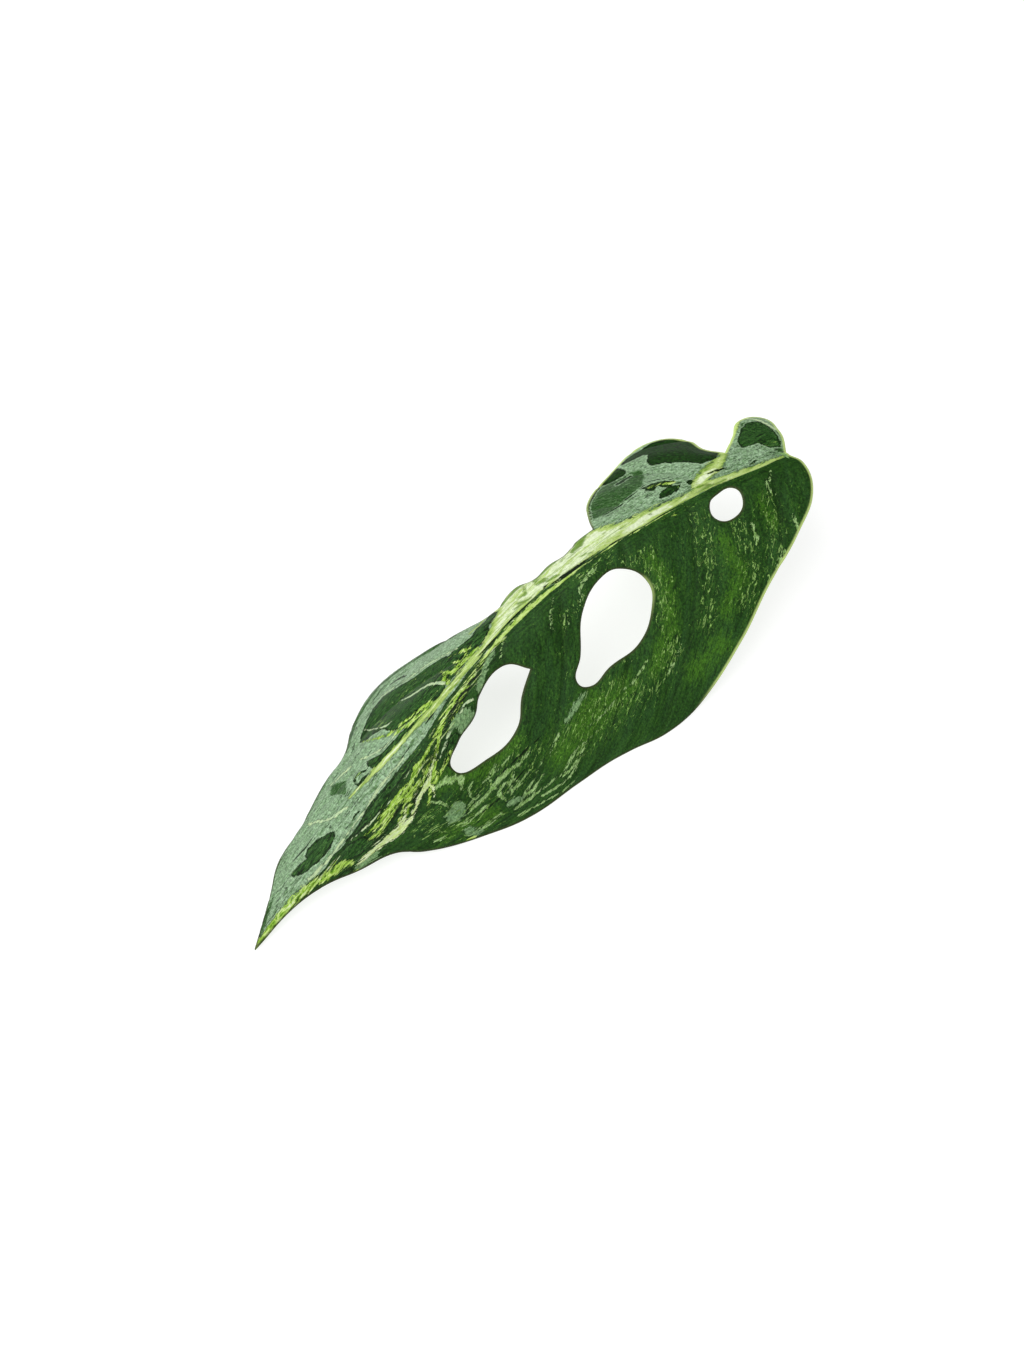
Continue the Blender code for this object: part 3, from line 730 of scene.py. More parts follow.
DARK_PATCHES = (
    ((4.4, 12.6), (1.6, 13.6), (-0.6, 12.8), (-1.6, 10), (-1.2, 5), (-0.2, 2.4), (2.4, 3.2), (4.6, 5.4),
     (8.4, 6), (8.2, 8.4)),
    ((32.8, 21.8), (30.3, 22.6), (27, 23), (23.2, 23.2), (20, 22.1), (17.6, 19.8), (16.2, 16.2),
     (15.9, 12.5), (14.8, 9.8), (13.8, 7.4), (15.9, 5.8), (18.1, 6.2), (19.5, 6.4), (21.1, 8.4),
     (23.3, 10.9), (25.6, 13.4), (28.2, 15.1), (28, 17.2), (26.4, 19.2), (26.8, 20.1), (30.1, 20.7)),
    ((38.6, 21), (36.2, 21.4), (33.3, 21.9), (32.6, 18.8), (33.7, 17.6), (36.1, 18.3), (38.4, 18.8)),
    ((34.5, 8.1), (32.1, 8.7), (29.3, 6.9), (27.5, 5.3), (29.2, 4.5), (30.7, 4.9), (31.8, 6.5),
     (33.6, 5.7), (34.7, 7.3)),
    ((33.8, 3.4), (32.4, 4.6), (29.2, 4.7), (27, 3.9), (28.7, 2.8), (30.5, 2.6), (33.3, 2.8)),
    ((25.9, 4), (24.2, 3.6), (22.2, 2.8), (22.2, 2.1), (24.2, 2.2), (25.8, 2.9)),
    ((118.8, 15.9), (114.4, 18.7), (110.2, 20.7), (106.9, 20.7), (103.8, 18), (100.9, 15), (97.2, 13.2),
     (93.9, 10.4), (92.8, 8), (92.6, 5.2), (94.6, 6.3), (96.4, 6.7), (97.8, 7.6), (99, 7.1),
     (98.8, 4.6), (100.2, 2.2), (102.2, 1.3), (104.5, 1.7), (106.5, 2.7), (108.2, 3.4), (111.2, 3.6),
     (112.8, 5.6), (114.1, 7.6), (114.4, 11), (116.5, 13.1), (117.9, 13.7)),
    ((79, 6.8), (79.8, 8), (81.7, 7.9), (82.7, 7.6), (85.1, 8), (86.9, 7.2), (88.5, 7.4), (92, 9.2),
     (95, 9), (99, 7.4), (99.6, 4.6), (99.2, 2.2), (96, 2.4), (92, 2.4), (89, 2.6), (86, 3.1),
     (84, 3.9), (83.2, 5.2), (81.8, 5.4), (80.1, 5.9)),
    ((108, 2.9), (110.7, 3.7), (113.9, 4.3), (118.1, 4.8), (120.4, 5.6), (122.4, 8.2), (123.3, 6.1),
     (123.3, 3.9), (120.8, 3.3), (117.4, 2.9), (113.5, 2.2), (108.9, 1.8)),
    ((138.5, 1.7), (140, 0.6), (142.5, 0.2), (146.3, 0.6), (149, 1.5), (151.3, 4.5), (150.7, 5.9),
     (148.4, 5.3), (146.4, 4.3), (146, 5.6), (144.4, 6.2), (141.7, 5.3), (139.5, 3.5)),
    ((117.5, -3.2), (122.3, -2.4), (127.2, -1.9), (130.7, -1.2), (132, -1.8), (135.9, -2.3),
     (138.9, -1.9), (140.3, -2.2), (138.1, -2.8), (133.6, -4.1), (127, -4.7), (124.2, -4.2), (119, -4.4)),
    ((135.6, -4.8), (139.6, -2.9), (142.7, -2.3), (145.8, -2.4), (144, -3.6), (142, -5.2),
     (138.6, -7.2), (135.3, -8), (131.8, -9), (129, -9), (130.4, -8.2), (134.2, -7.8)),
    ((141.9, -7.8), (142.1, -6.6), (144.4, -5.7), (146, -5.5), (144.2, -7.2)),
    ((105.8, -7.4), (107.8, -7.2), (110, -8.3), (111.9, -8.9), (112.8, -10), (111.9, -11.8),
     (108.3, -10.1), (105.6, -8.9)),
)
LINES = (
    ((44, 1.4, 1), (55, 3, 2.4), (70, 4, 3), (80, 3.4, 2.2)),
    ((80, 2, 1.4), (90, 1, 1.2), (98, 0.4, 0.9)),
    ((84, -1, 0.8), (92, -2, 1.2), (100, -3.2, 1.5), (108, -4.6, 1.6), (114, -6.4, 1.4)),
    ((114, -6.4, 1.2), (122, -7.6, 1.5), (130, -7.2, 1.2)),
    ((142, -3.6, 0.6), (150, -1.4, 1), (160, 0, 0.8)),
)
print("dark islands:", len(DARK) + len(DARK_PATCHES))

# %% [markdown]
# Now the covers are measured at every point of the flat blade, before anything asks how it is
# bent: the distance to the nearest stroke for strokes, and to the outline for patches, with its
# sign from whether the point lies inside.

# %% Measures on the flat blade
LEAST_COVER = -1.5
SOFT_WIDTH = 0.45
SOFT_SHARE = 0.55
FAR_AWAY = 99.0


def piece_gap(start, end):
    """Each point's distance from a straight piece, and how far along the piece it is, 0 to 1."""
    along_start, across_start = start[:2]
    step_a, step_c = end[0] - along_start, end[1] - across_start
    reach_a, reach_c = along_mm - along_start, across_mm - across_start
    share = np.clip((reach_a * step_a + reach_c * step_c) / (step_a**2 + step_c**2), 0, 1)
    return np.hypot(reach_a - share * step_a, reach_c - share * step_c), share


def cover(strokes):
    """How far inside the nearest stroke each point is, in about its half widths: 1 to -1.5."""
    total = np.full(len(along_mm), LEAST_COVER)
    for stroke in strokes:
        for start, end in zip(stroke[:-1], stroke[1:]):
            gap, share = piece_gap(start, end)
            width = start[2] + (end[2] - start[2]) * share
            total = np.maximum(total, (width - gap) / (SOFT_WIDTH + SOFT_SHARE * width))
    return np.minimum(total, 1.0)


def patch_cover(outlines, depth=0.9):
    """The same for patches given by their outlines, by counting the sides that a ray crosses."""
    total = np.full(len(along_mm), LEAST_COVER)
    for outline in outlines:
        gap = np.full(len(along_mm), FAR_AWAY)
        inside = np.zeros(len(along_mm), bool)
        for start, end in zip(outline, outline[1:] + outline[:1]):
            gap = np.minimum(gap, piece_gap(start, end)[0])
            step_a, step_c = end[0] - start[0], end[1] - start[1]
            spans = (start[1] > across_mm) != (end[1] > across_mm)
            crossing = start[0] + (across_mm - start[1]) / (step_c or 1) * step_a
            inside ^= spans & (along_mm < crossing)
        total = np.maximum(total, np.where(inside, gap, -gap) / depth)
    return np.minimum(total, 1.0)


# %% [markdown]
# A mesh can carry any number of named values at its points, and a material reads them by name.
# They are kept on the blade itself, so its pattern stays with it wherever it goes: the covers,
# the vein coordinate, the distance from a margin and which side of the crease a point is on.

# %% Store the layers on the blade
LEFT_FLOW_SHIFT = 400.0
CREAM_DEPTH = 1.4
HALF_MM = 0.5


def store(name, values):
    kind = "FLOAT_VECTOR" if values.ndim == 2 else "FLOAT"
    layer = blade.data.attributes.new(name, kind, "POINT")
    key = "vector" if values.ndim == 2 else "value"
    layer.data.foreach_set(key, values.astype(np.float32).ravel())


def root_at(step_along, step_across):
    there = along_mm + step_along
    return vein_root(there, spread_away(there, across_mm + step_across))


def squeeze():
    """How closely the veins run together at each point, where 1 is as on the midrib."""
    lengthwise_step = root_at(HALF_MM, 0) - root_at(-HALF_MM, 0)
    crosswise_step = root_at(0, HALF_MM) - root_at(0, -HALF_MM)
    return np.hypot(lengthwise_step, crosswise_step)


def pale_margin():
    """1 where the margin is a pale line, as round the base, and 0 where it is dark."""
    on_lobes = np.maximum(smooth_step(3, 5, across_mm), smooth_step(-11, -13, across_mm))
    return np.maximum(smooth_step(52, 40, along_mm) * on_lobes, smooth_step(3, 0, along_mm))


flow_side = np.where(across < 0, 0.0, LEFT_FLOW_SHIFT)
level = np.zeros(len(root))
store("flow", np.stack((away_flow, root + flow_side, level), -1))
store("place", np.stack((along_mm, across_mm, level), -1))
for name, values in (("rim", rim), ("top", on_top.astype(float)), ("vein", vein),
                     ("squeeze", squeeze()), ("pale_margin", pale_margin())):
    store(name, values)
for name, strokes in (("lime", LIME), ("crease", CREASE_SHADOWS), ("pale_line", PALE_LINE),
                      ("glow", GLOW), ("flecks", FLECKS), ("cream_right", CREAM_RIGHT),
                      ("pale_veins", PALE_VEINS), ("olive", OLIVE), ("streaks", STREAKS),
                      ("lines", LINES)):
    store(name, cover(strokes))
store("sage", np.maximum(cover(SAGE), patch_cover(SAGE_PATCHES)))
store("dark", np.maximum(cover(DARK), patch_cover(DARK_PATCHES)))
store("cream", np.maximum(cover(CREAM), patch_cover(CREAM_PATCHES, CREAM_DEPTH)))
store("band", patch_cover(BAND))
store("grey_patch", patch_cover(GREY_PATCHES))
crease_at = np.interp(along_mm, *zip(*CREASE_LINE))
store("left", np.clip(across_mm - crease_at, LEAST_COVER, 1.0))
rib = np.where(across < 0, smooth_step(7.0, 2.5, away_mm), smooth_step(13.0, 5.0, away_mm))
store("rib", np.maximum(rib, 0.0))
print("stored", len(blade.data.attributes), "layers on the blade")

# %% [markdown]
# A node material is easier to read as a few short sentences than as a tangle of links. So a
# finish is an object here, with a short method for each kind of node, which makes the node, plugs
# its inputs and returns its output. Colours are given as they look on a screen, because that is
# how a person picks them, and are turned into the linear values that a shader works in.

# %% Helpers for materials
def colour(red, green, blue):
    """A colour given as it looks on a screen, from 0 to 255, as the shader's linear one."""
    shares = [value / 255 for value in (red, green, blue)]
    return tuple(s / 12.92 if s <= 0.04045 else ((s + 0.055) / 1.055) ** 2.4 for s in shares) + (1,)


class Finish:
    """A node material, with a method for each kind of node that the leaf needs."""

    def __init__(self, name):
        self.material = bpy.data.materials.new(name)
        self.material.use_nodes = True
        self.tree = self.material.node_tree
        self.tree.nodes.clear()
        self.shader = self.node("BsdfPrincipled")
        output = self.node("OutputMaterial")
        self.plug(self.shader.outputs["BSDF"], output.inputs["Surface"])

    def node(self, kind):
        return self.tree.nodes.new("ShaderNode" + kind)

    def plug(self, value, socket):
        if isinstance(value, bpy.types.NodeSocket):
            self.tree.links.new(value, socket)
        else:
            socket.default_value = value

    def layer(self, name, vector=False):
        node = self.node("Attribute")
        node.attribute_name = name
        return node.outputs["Vector" if vector else "Fac"]

    def stretch(self, coords, scale):
        node = self.node("Mapping")
        node.inputs["Scale"].default_value = scale
        self.plug(coords, node.inputs["Vector"])
        return node.outputs["Vector"]

    def noise(self, coords, scale, detail=3.0, roughness=0.55, distortion=0.0, flat=True):
        node = self.node("TexNoise")
        node.noise_dimensions = "2D" if flat else "3D"
        node.inputs["Scale"].default_value = scale
        node.inputs["Detail"].default_value = detail
        node.inputs["Roughness"].default_value = roughness
        node.inputs["Distortion"].default_value = distortion
        self.plug(coords, node.inputs["Vector"])
        return node.outputs["Fac"]

    def maths(self, operation, first, second):
        node = self.node("Math")
        node.operation = operation
        self.plug(first, node.inputs[0])
        self.plug(second, node.inputs[1])
        return node.outputs[0]

    def add(self, first, second):
        return self.maths("ADD", first, second)

    def minus(self, first, second):
        return self.maths("SUBTRACT", first, second)

    def times(self, first, second):
        return self.maths("MULTIPLY", first, second)

    def centred(self, value, strength):
        """A noise as a push up or down, which is none on average."""
        return self.times(self.minus(value, 0.5), strength)

    def ramp(self, value, low, high, to_low=0.0, to_high=1.0):
        """A smooth change from to_low to to_high as the value goes from low to high."""
        node = self.node("MapRange")
        node.interpolation_type = "SMOOTHSTEP"
        self.plug(value, node.inputs["Value"])
        node.inputs["From Min"].default_value = low
        node.inputs["From Max"].default_value = high
        node.inputs["To Min"].default_value = to_low
        node.inputs["To Max"].default_value = to_high
        return node.outputs["Result"]

    def blend(self, factor, first, second):
        node = self.node("Mix")
        node.data_type = "RGBA"
        self.plug(factor, node.inputs[0])
        self.plug(first, node.inputs[6])
        self.plug(second, node.inputs[7])
        return node.outputs[2]

    def emboss(self, height, strength, distance):
        """Fine relief from a height between 0 and 1, for what is too small to model."""
        node = self.node("Bump")
        node.inputs["Strength"].default_value = strength
        node.inputs["Distance"].default_value = distance
        self.plug(height, node.inputs["Height"])
        self.plug(node.outputs["Normal"], self.shader.inputs["Normal"])


# %% [markdown]
# The blade's finish is built up as the leaf's tissue is, in layers. All of its marks share a few
# noises that are drawn out along the side veins, because the cells of a leaf grow in rows along
# them. One image could hold the whole pattern, but then it would have one sharpness only, and
# noises stay crisp however close the camera comes.

# %% The blade's noises and its brush
BLACK_GREEN = colour(8, 26, 3)


class BladeFinish(Finish):
    """The blade's finish: the noises that its marks share, and its tint as painted so far."""

    def __init__(self):
        super().__init__("blade_finish")
        self.flow = self.layer("flow", vector=True)
        self.place = self.layer("place", vector=True)
        self.left = self.layer("left")
        self.ragged = self.drawn_out(0.24, 0.60, 6.0, 0.68, 0.6)
        self.fine = self.drawn_out(0.45, 1.6, 5.0, 0.7, 0.5)
        self.speckle = self.drawn_out(0.42, 1.35, 6.0, 0.74, 1.0)
        self.grain = self.noise(self.place, 1.7, 4.0, 0.75)

    def drawn_out(self, length, *kind):
        """Noise that is long along the side veins, and along the midrib where it is near."""
        open_flow = self.noise(self.stretch(self.flow, (length, 1.0, 1)), *kind)
        tight_flow = self.noise(self.stretch(self.flow, (length, 0.4, 1)), *kind)
        near = self.noise(self.stretch(self.place, (length * 0.6, 1.0, 1)), *kind)
        tight = self.ramp(self.layer("squeeze"), 1.1, 2.4)
        return self.blend(self.layer("rib"), self.blend(tight, open_flow, tight_flow), near)

    def shaken(self, name, rough, rough_fine):
        """A mark's cover with the long and the fine noises added to it."""
        noises = self.add(self.centred(self.ragged, rough), self.centred(self.fine, rough_fine))
        noises = self.add(noises, self.centred(self.speckle, rough_fine))
        return self.add(self.layer(name), noises)

    def tones(self, low, high, *colours, by=None):
        """A colour that steps smoothly through the given ones as a noise rises."""
        mixed = colours[0]
        span = (high - low) / (len(colours) - 1)
        for step, tone in enumerate(colours[1:]):
            start = low + step * span
            mixed = self.blend(self.ramp(by or self.fine, start, start + span), mixed, tone)
        return mixed

    def coat(self, factor, tone):
        self.tint = self.blend(factor, self.tint, tone)

    def paint(self, name, tone, rough, rough_fine, edge=0.05, fringe=0.0, strength=1.0, gate=None):
        """Lays one kind of mark on, with a dark fringe round it where one is asked for."""
        total = self.shaken(name, rough, rough_fine)
        if gate is not None:
            total = self.add(total, gate)
        if fringe:
            self.coat(self.ramp(total, -0.36, -0.04, 0.0, fringe), BLACK_GREEN)
        self.coat(self.ramp(total, -edge, edge, 0.0, strength), tone)

    def mottle(self, darkest, lightest):
        """Darker and lighter grains all over what is painted so far."""
        node = self.node("HueSaturation")
        self.plug(self.tint, node.inputs["Color"])
        self.plug(self.ramp(self.grain, 0.3, 0.7, darkest, lightest), node.inputs["Value"])
        self.tint = node.outputs["Color"]


skin = BladeFinish()

# %% [markdown]
# The ground is the leaf's full green. It is deep near the margin, warmer where the tissue swells
# and catches light, nearly black in the finest pores, and darkened along the sunken veins with painted
# shade.

# %% The green ground
DEEP_GREEN = colour(27, 60, 16)
MARGIN_GREEN = colour(36, 70, 28)
MID_GREEN = colour(50, 90, 30)
WARM_GREEN = colour(66, 112, 24)


def paint_ground():
    broad = skin.noise(skin.stretch(skin.flow, (0.12, 0.5, 1)), 0.5, 4.0, 0.6)
    shake = skin.add(skin.centred(skin.fine, 6.0), skin.centred(skin.speckle, 8.0))
    glow = skin.add(skin.layer("glow"), shake)
    skin.tint = skin.blend(skin.ramp(broad, 0.4, 0.62), DEEP_GREEN, MARGIN_GREEN)
    skin.coat(skin.ramp(skin.ragged, 0.46, 0.60, 0.0, 0.5), MID_GREEN)
    skin.coat(skin.ramp(glow, -1.4, 2.0, 0.0, 0.75), WARM_GREEN)
    skin.coat(skin.ramp(skin.fine, 0.48, 0.34, 0.0, 0.6), BLACK_GREEN)
    # painted shade: darker along the side veins, where the surface dips
    skin.coat(skin.times(skin.layer("vein"), 0.35), BLACK_GREEN)


paint_ground()

# %% [markdown]
# The pale marks of the right half lie on the green in streaks and ragged patches, each with a
# thin dark fringe where the two kinds of tissue meet.

# %% Streaks and patches of the right half
STREAK_GREEN = colour(98, 138, 62)
STREAK_PALE = colour(148, 180, 118)
GREY_SHADE = colour(94, 128, 84)
PATCH_GREEN = colour(126, 158, 108)


def paint_right_half():
    streak = skin.tones(0.40, 0.60, STREAK_GREEN, STREAK_PALE)
    skin.paint("streaks", streak, rough=2.2, rough_fine=2.6, fringe=0.6)
    patch = skin.tones(0.38, 0.66, GREY_SHADE, PATCH_GREEN)
    skin.paint("grey_patch", patch, rough=2.2, rough_fine=2.6, edge=0.06, fringe=0.6)


paint_right_half()

# %% [markdown]
# Left of the crease it is the other way round: the tissue is grey-green all over, and the full
# green is left only as islands. A paler band follows the midrib towards the tip, darker sage
# patches lie in the lobes, and the grey is pitted with fine dark dots.

# %% The grey left half
GREY_GREEN = colour(142, 170, 136)
BAND_GREY = colour(150, 178, 142)
SAGE_GREEN = colour(60, 94, 50)
ISLAND_GREEN = colour(36, 74, 26)


def paint_left_half():
    skin.coat(skin.ramp(skin.left, -0.1, 0.1), skin.tones(0.33, 0.60, GREY_SHADE, GREY_GREEN))
    band = skin.tones(0.38, 0.70, GREY_SHADE, GREY_GREEN, BAND_GREY)
    skin.paint("band", band, rough=0.6, rough_fine=0.8, edge=0.08, fringe=0.8)
    sage = skin.tones(0.42, 0.66, ISLAND_GREEN, SAGE_GREEN, GREY_SHADE)
    skin.paint("sage", sage, rough=1.6, rough_fine=1.8, edge=0.16)
    pits = skin.ramp(skin.speckle, 0.425, 0.40, 0.0, 0.8)
    skin.coat(skin.times(pits, skin.ramp(skin.left, 0.0, 1.0)), BLACK_GREEN)


paint_left_half()

# %% [markdown]
# An island is dark green. In the lobe near the base it is painted darker still, as painted shade. Where
# it meets the grey there is a pale rim outside and a thin black line inside, and both come from the same
# shaken cover, so that they follow the island's own ragged outline.

# %% The dark islands
# The darker island tone near the base is painted shade.
ISLAND_SHADE = colour(24, 56, 14)
ISLAND_LIGHT = colour(60, 98, 44)


def paint_islands():
    split = skin.node("SeparateXYZ")
    skin.plug(skin.place, split.inputs["Vector"])
    along_leaf = split.outputs["X"]
    # near the base the islands get a darker tone: painted shade
    near_base = skin.times(skin.ramp(along_leaf, 55, 40), skin.ramp(along_leaf, 10, 15))
    island = skin.tones(0.38, 0.64, BLACK_GREEN, ISLAND_GREEN, ISLAND_LIGHT)
    base_island_shade = skin.tones(0.36, 0.68, BLACK_GREEN, ISLAND_SHADE, ISLAND_GREEN)
    outer = skin.shaken("dark", 1.3, 1.2)
    rim_out = skin.times(skin.ramp(outer, -0.62, -0.30), skin.ramp(outer, -0.16, -0.04, 1.0, 0.0))
    skin.coat(skin.times(rim_out, skin.ramp(skin.left, 0.2, 0.9, 0.0, 0.65)), BAND_GREY)
    skin.paint("dark", skin.blend(near_base, island, base_island_shade), rough=1.3, rough_fine=1.2)
    line_in = skin.times(skin.ramp(outer, 0.0, 0.08), skin.ramp(outer, 0.22, 0.58, 1.0, 0.0))
    skin.coat(skin.times(line_in, 0.95), BLACK_GREEN)


paint_islands()

# %% [markdown]
# The flecks are single pale cells in rows along the side veins. The speckle noise makes them: only
# its highest peaks count, and the peaks are higher where a stroke says that flecks are dense.

# %% The flecks
FLECK_GREEN = colour(100, 144, 54)
FLECK_PALE = colour(144, 178, 104)


def paint_flecks():
    density = skin.ramp(skin.layer("flecks"), -1.2, 0.8, 0.66, 0.566)
    over = skin.minus(skin.speckle, density)
    on_island = skin.ramp(skin.layer("dark"), -0.1, 0.2)
    free = skin.maths("MAXIMUM", skin.ramp(skin.left, 0.2, -0.2), on_island)
    skin.coat(skin.times(skin.ramp(over, -0.035, 0.0, 0.0, 0.6), free), BLACK_GREEN)
    fleck = skin.blend(skin.ramp(over, 0.02, 0.07), FLECK_GREEN, FLECK_PALE)
    skin.coat(skin.times(skin.ramp(over, 0.0, 0.02, 0.0, 0.9), free), fleck)
    skin.mottle(0.66, 1.34)


paint_flecks()

# %% [markdown]
# The palest tissue comes last, because it lies over every other kind: the pale side veins, the
# net of lime threads, and the cream beside the midrib, which is lightest in its middle, greener
# towards its rims, spotted olive, and darkened to olive as painted shade where the narrow strip's margin
# folds.

# %% Lime, cream and olive
VEIN_PALE = colour(190, 210, 160)
LIME_DEEP = colour(92, 138, 28)
LIME_GREEN = colour(148, 186, 68)
LIME_PALE = colour(190, 214, 128)
CREAM_SHADE = colour(116, 150, 58)
CREAM_GREEN = colour(172, 196, 112)
CREAM_LIGHT = colour(214, 226, 190)
OLIVE_GREEN = colour(88, 118, 34)
NOT_HERE = -4.0


def paint_lime():
    pale_vein = skin.tones(0.38, 0.60, BAND_GREY, VEIN_PALE)
    skin.paint("pale_veins", pale_vein, rough=0.9, rough_fine=1.3, edge=0.10, fringe=0.5)
    lime = skin.tones(0.42, 0.62, LIME_DEEP, LIME_GREEN, LIME_PALE)
    skin.paint("lime", lime, rough=2.2, rough_fine=3.4, edge=0.08, fringe=0.7)


def paint_cream():
    richness = skin.add(skin.centred(skin.ragged, 3.0), skin.centred(skin.fine, 1.8))
    richness = skin.add(richness, skin.layer("cream"))
    cream = skin.tones(-0.2, 1.15, CREAM_SHADE, CREAM_GREEN, CREAM_LIGHT, by=richness)
    left_only = skin.ramp(skin.left, -0.15, 0.05, NOT_HERE, 0.0)
    skin.paint("cream", cream, rough=1.4, rough_fine=1.4, edge=0.06, fringe=0.5, gate=left_only)
    cream_right = skin.tones(0.42, 0.66, LIME_PALE, CREAM_LIGHT)
    skin.paint("cream_right", cream_right, rough=1.4, rough_fine=2.4, edge=0.06, fringe=0.7)
    # olive: partly spots in the cream, partly painted shade where the strip's margin folds
    olive = skin.tones(0.42, 0.66, OLIVE_GREEN, LIME_DEEP, CREAM_SHADE)
    skin.paint("olive", olive, rough=1.0, rough_fine=1.4, edge=0.3, fringe=0.3, strength=0.85)


paint_lime()
paint_cream()

# %% [markdown]
# Long fibres run beside the midrib, pale and dark by turns. A noise that is stretched over twenty
# times along the leaf makes them. The crease itself is drawn over them as one thin dark line of painted
# shadow, the shade in its groove, with a pale one beside it.

# %% Fibres and the crease
def paint_fibres():
    fibres = skin.noise(skin.stretch(skin.place, (0.045, 1.0, 1)), 1.5, 4.0, 0.7, 0.3)
    zone = skin.ramp(skin.shaken("lines", 2.0, 2.0), -0.4, 0.4)
    pale_fibre = skin.times(skin.ramp(fibres, 0.56, 0.60, 0.0, 0.7), zone)
    dark_fibre = skin.times(skin.ramp(fibres, 0.43, 0.39, 0.0, 0.65), zone)
    skin.coat(pale_fibre, skin.tones(0.40, 0.60, LIME_GREEN, LIME_PALE, CREAM_LIGHT))
    on_cream = skin.ramp(skin.layer("cream"), 0.0, 0.3)
    skin.coat(dark_fibre, skin.blend(on_cream, BLACK_GREEN, CREAM_SHADE))


def paint_crease():
    pale_line = skin.tones(0.36, 0.6, LIME_GREEN, LIME_PALE)
    skin.paint("pale_line", pale_line, rough=0.9, rough_fine=0.9, edge=0.12)
    # painted shadow: the dark line of shade in the midrib's groove and in other creases
    skin.paint("crease", BLACK_GREEN, rough=0.8, rough_fine=0.6, edge=0.10)
    skin.mottle(0.90, 1.10)


paint_fibres()
paint_crease()

# %% [markdown]
# A thin line runs along the margin, pale round the base and brown elsewhere. The lower side is
# paler and duller, and the marbling shows through it faintly. The upper side is waxy, so it has a
# fairly low roughness, and its bump holds a net of small cells and a fine grain.

# %% Margin, underside and surface
EDGE_PALE = colour(196, 220, 130)
EDGE_BROWN = colour(52, 60, 30)
UNDER_GREEN = colour(140, 168, 118)
UNDER_SHARE = 0.62
UNDER_DULLER = 0.22
WAX_SPECULAR = 0.12
SKIN_BUMP = 0.35
SKIN_BUMP_HEIGHT = 0.00012


def paint_margin():
    margin_gap, pale = skin.layer("rim"), skin.layer("pale_margin")
    thin = skin.ramp(margin_gap, 0.18, 0.62, 0.85, 0.0)
    wide = skin.ramp(margin_gap, 0.3, 0.95, 0.9, 0.0)
    skin.coat(skin.blend(pale, thin, wide), skin.blend(pale, EDGE_BROWN, EDGE_PALE))


def finish_sides():
    under = skin.blend(UNDER_SHARE, skin.tint, UNDER_GREEN)
    under = skin.blend(skin.times(skin.layer("vein"), 0.5), under, EDGE_PALE)
    top = skin.ramp(skin.layer("top"), 0.4, 0.6)
    skin.plug(skin.blend(top, under, skin.tint), skin.shader.inputs["Base Color"])
    gloss = skin.ramp(skin.fine, 0.3, 0.7, 0.34, 0.46)
    dull = skin.times(skin.minus(1.0, top), UNDER_DULLER)
    skin.plug(skin.add(gloss, dull), skin.shader.inputs["Roughness"])
    skin.shader.inputs["Specular IOR Level"].default_value = WAX_SPECULAR


def emboss_cells():
    cells = skin.node("TexVoronoi")
    cells.feature = "DISTANCE_TO_EDGE"
    cells.inputs["Scale"].default_value = 0.85
    skin.plug(skin.stretch(skin.flow, (0.7, 1.2, 1)), cells.inputs["Vector"])
    net = skin.ramp(cells.outputs["Distance"], 0.0, 0.12)
    height = skin.add(skin.times(net, 0.5), skin.times(skin.grain, 0.6))
    skin.emboss(height, SKIN_BUMP, SKIN_BUMP_HEIGHT)


paint_margin()
finish_sides()
emboss_cells()
blade.data.materials.clear()
blade.data.materials.append(skin.material)
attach(blade, "root")
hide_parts("leaf")
print("blade finished with", len(skin.tree.nodes), "nodes")

# %% [markdown]
# The stalk is a tapered round stem. A ring of points is extruded along its line and scaled a
# little at each step, so it is thick at the joint below the blade, slim in the middle and wider
# again at the cut end. The cut end is inset twice, which gives it a rounded rim and a flat face.

# %% The stalk
STALK_RADIUS = 0.0019
STALK_LENGTH = 0.0341
STALK_DIRECTION = Vector((0.52, 0.30, -0.80)).normalized()
STALK_SIDES = 40
STALK_STEPS = 60
STALK_SHARES = (0.0, 0.12, 0.35, 0.7, 1.0)
STALK_WIDTHS = (1.05, 1.18, 0.95, 0.96, 1.12)
STALK_START = Vector((-0.0015, -0.0003, -0.0004))
STALK_SWAY = 0.0012
SMOOTHING_STEPS = 4
CUT_RIM = 0.00022
CUT_RIM_RISE = -0.00005
CUT_FACE_INSET = 0.0006
SHARP_ANGLE = 50


def stalk_point(share):
    base = Vector([float(value) for value in midrib(np.array(0.0))])
    sway = STALK_SWAY * math.sin(math.pi * share)
    line = base + STALK_START + STALK_DIRECTION * STALK_LENGTH * share
    return line + Vector((sway, -sway, 0))


def stalk_widths():
    """The share of the usual radius at each step, smoothed by a running mean."""
    widths = np.interp(np.linspace(0, 1, STALK_STEPS + 1), STALK_SHARES, STALK_WIDTHS)
    window = 2 * SMOOTHING_STEPS + 1
    padded = np.pad(widths, SMOOTHING_STEPS, mode="edge")
    return np.convolve(padded, np.ones(window) / window, mode="valid")


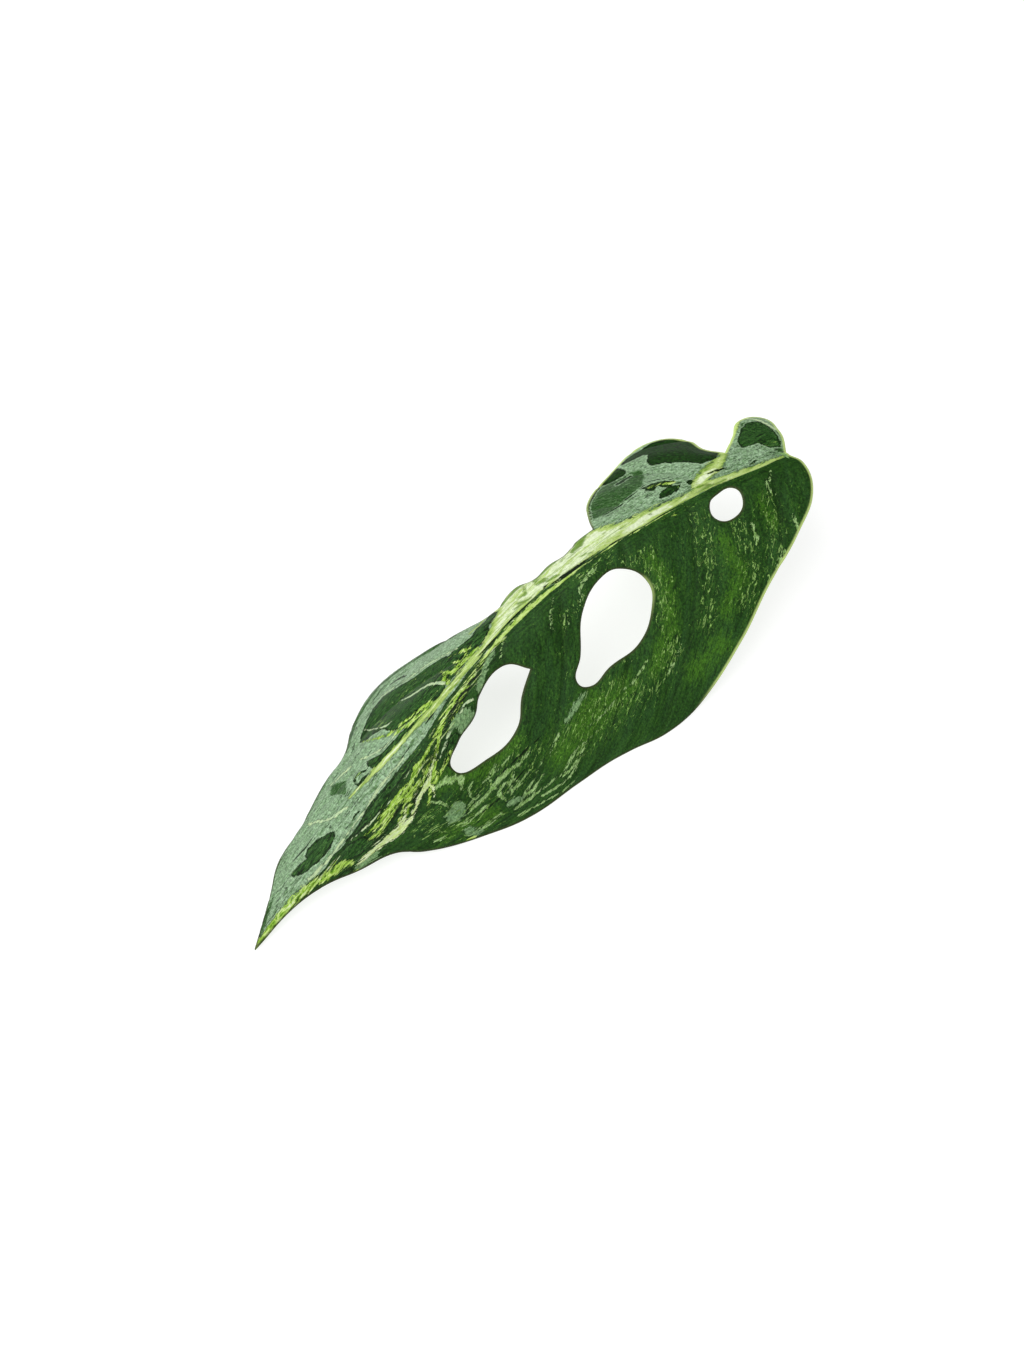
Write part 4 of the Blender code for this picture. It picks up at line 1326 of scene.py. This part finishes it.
def build_stalk():
    work = bmesh.new()
    ring = bmesh.ops.create_circle(work, cap_ends=True, segments=STALK_SIDES, radius=1)["verts"]
    spin = STALK_DIRECTION.to_track_quat("Z", "Y").to_matrix()
    widths = stalk_widths()
    for vert in ring:
        vert.co = spin @ (vert.co * STALK_RADIUS * widths[0]) + stalk_point(0)
    loop = work.edges[:]
    for index in range(1, STALK_STEPS + 1):
        share = index / STALK_STEPS
        made = bmesh.ops.extrude_edge_only(work, edges=loop)["geom"]
        loop = [item for item in made if isinstance(item, bmesh.types.BMEdge)]
        verts = [item for item in made if isinstance(item, bmesh.types.BMVert)]
        before, here = stalk_point(share - 1 / STALK_STEPS), stalk_point(share)
        for vert in verts:
            out = (vert.co - before) * (widths[index] / widths[index - 1])
            vert.co = here + out
    end = bmesh.ops.contextual_create(work, geom=loop)["faces"]
    bmesh.ops.inset_region(work, faces=end, thickness=CUT_RIM, depth=CUT_RIM_RISE)
    bmesh.ops.inset_region(work, faces=end, thickness=CUT_FACE_INSET, depth=0)
    bmesh.ops.recalc_face_normals(work, faces=work.faces)
    data = bpy.data.meshes.new("stalk")
    work.to_mesh(data)
    work.free()
    for vert in data.vertices:
        vert.co.z = max(vert.co.z, 0)
    data.shade_smooth()
    data.set_sharp_from_angle(angle=math.radians(SHARP_ANGLE))
    return link("stalk", data)


stalk = build_stalk()
print("stalk:", len(stalk.data.vertices), "points")

# %% [markdown]
# The stalk's skin is a plain mid green with fine lines along it and a few paler blotches. The
# lines are a noise on the object's own coordinates, squeezed so that it is long up and down.

# %% The stalk's finish
STALK_GREEN = colour(74, 116, 48)
STALK_LINE = colour(108, 150, 74)
STALK_BLOTCH = colour(150, 180, 110)
LINE_STRETCH = (1.0, 1.0, 0.12)


def finish_stalk():
    rind = Finish("stalk_finish")
    where = rind.node("TexCoord").outputs["Object"]
    lines = rind.noise(rind.stretch(where, LINE_STRETCH), 2600.0, 3.0, flat=False)
    blotch = rind.noise(where, 240.0, 3.0, flat=False)
    tint = rind.blend(rind.ramp(lines, 0.35, 0.65), STALK_GREEN, STALK_LINE)
    tint = rind.blend(rind.ramp(blotch, 0.5, 0.75, 0.0, 0.5), tint, STALK_BLOTCH)
    rind.plug(tint, rind.shader.inputs["Base Color"])
    rind.plug(rind.ramp(lines, 0.2, 0.8, 0.36, 0.5), rind.shader.inputs["Roughness"])
    rind.emboss(lines, 0.3, 0.0001)
    stalk.data.materials.append(rind.material)


finish_stalk()
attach(stalk, "root")
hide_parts("leaf")

# %% [markdown]
# The studio: a plain pale floor just below the leaf, a soft even surround, and two suns so wide
# that they light like large soft panels, which leaves no hard shadow or highlight. The floor
# glows faintly, so that it stays nearly white in the leaf's shade and is seen through the holes.

# %% Floor and light
FLOOR_SIZE = 6.0
FLOOR_COLOUR = colour(160, 160, 160)
FLOOR_GLOW = 0.74
FLOOR_GAP = 0.0001
SURROUND = 0.22


def build_floor():
    work = bmesh.new()
    bmesh.ops.create_grid(work, x_segments=1, y_segments=1, size=FLOOR_SIZE / 2)
    data = bpy.data.meshes.new("floor")
    work.to_mesh(data)
    work.free()
    paper = Finish("floor_finish")
    shader = paper.shader
    shader.inputs["Base Color"].default_value = FLOOR_COLOUR
    shader.inputs["Roughness"].default_value = 0.9
    shader.inputs["Emission Color"].default_value = (1, 1, 1, 1)
    shader.inputs["Emission Strength"].default_value = FLOOR_GLOW
    data.materials.append(paper.material)
    floor = link("floor", data)
    floor.location.z = CAD_LOW.z - FLOOR_GAP


def add_sun(name, place, spread, power):
    """A sun this many degrees wide, which shines from a place towards the leaf."""
    data = bpy.data.lights.new(name, "SUN")
    data.angle = math.radians(spread)
    data.energy = power
    lamp = link(name, data)
    lamp.location = place
    lamp.rotation_mode = "QUATERNION"
    lamp.rotation_quaternion = (-Vector(place)).to_track_quat("-Z", "Y")


def build_world():
    world = bpy.data.worlds.new("studio")
    world.use_nodes = True
    background = world.node_tree.nodes["Background"]
    background.inputs["Color"].default_value = (1, 1, 1, 1)
    background.inputs["Strength"].default_value = SURROUND
    bpy.context.scene.world = world


build_floor()
build_world()
add_sun("key", (-0.80, 0.42, 1.0), 60, 2.0)
add_sun("fill", (-0.4, -0.25, 1.0), 100, 1.5)
bpy.context.scene.view_settings.view_transform = "Standard"
print("studio ready")
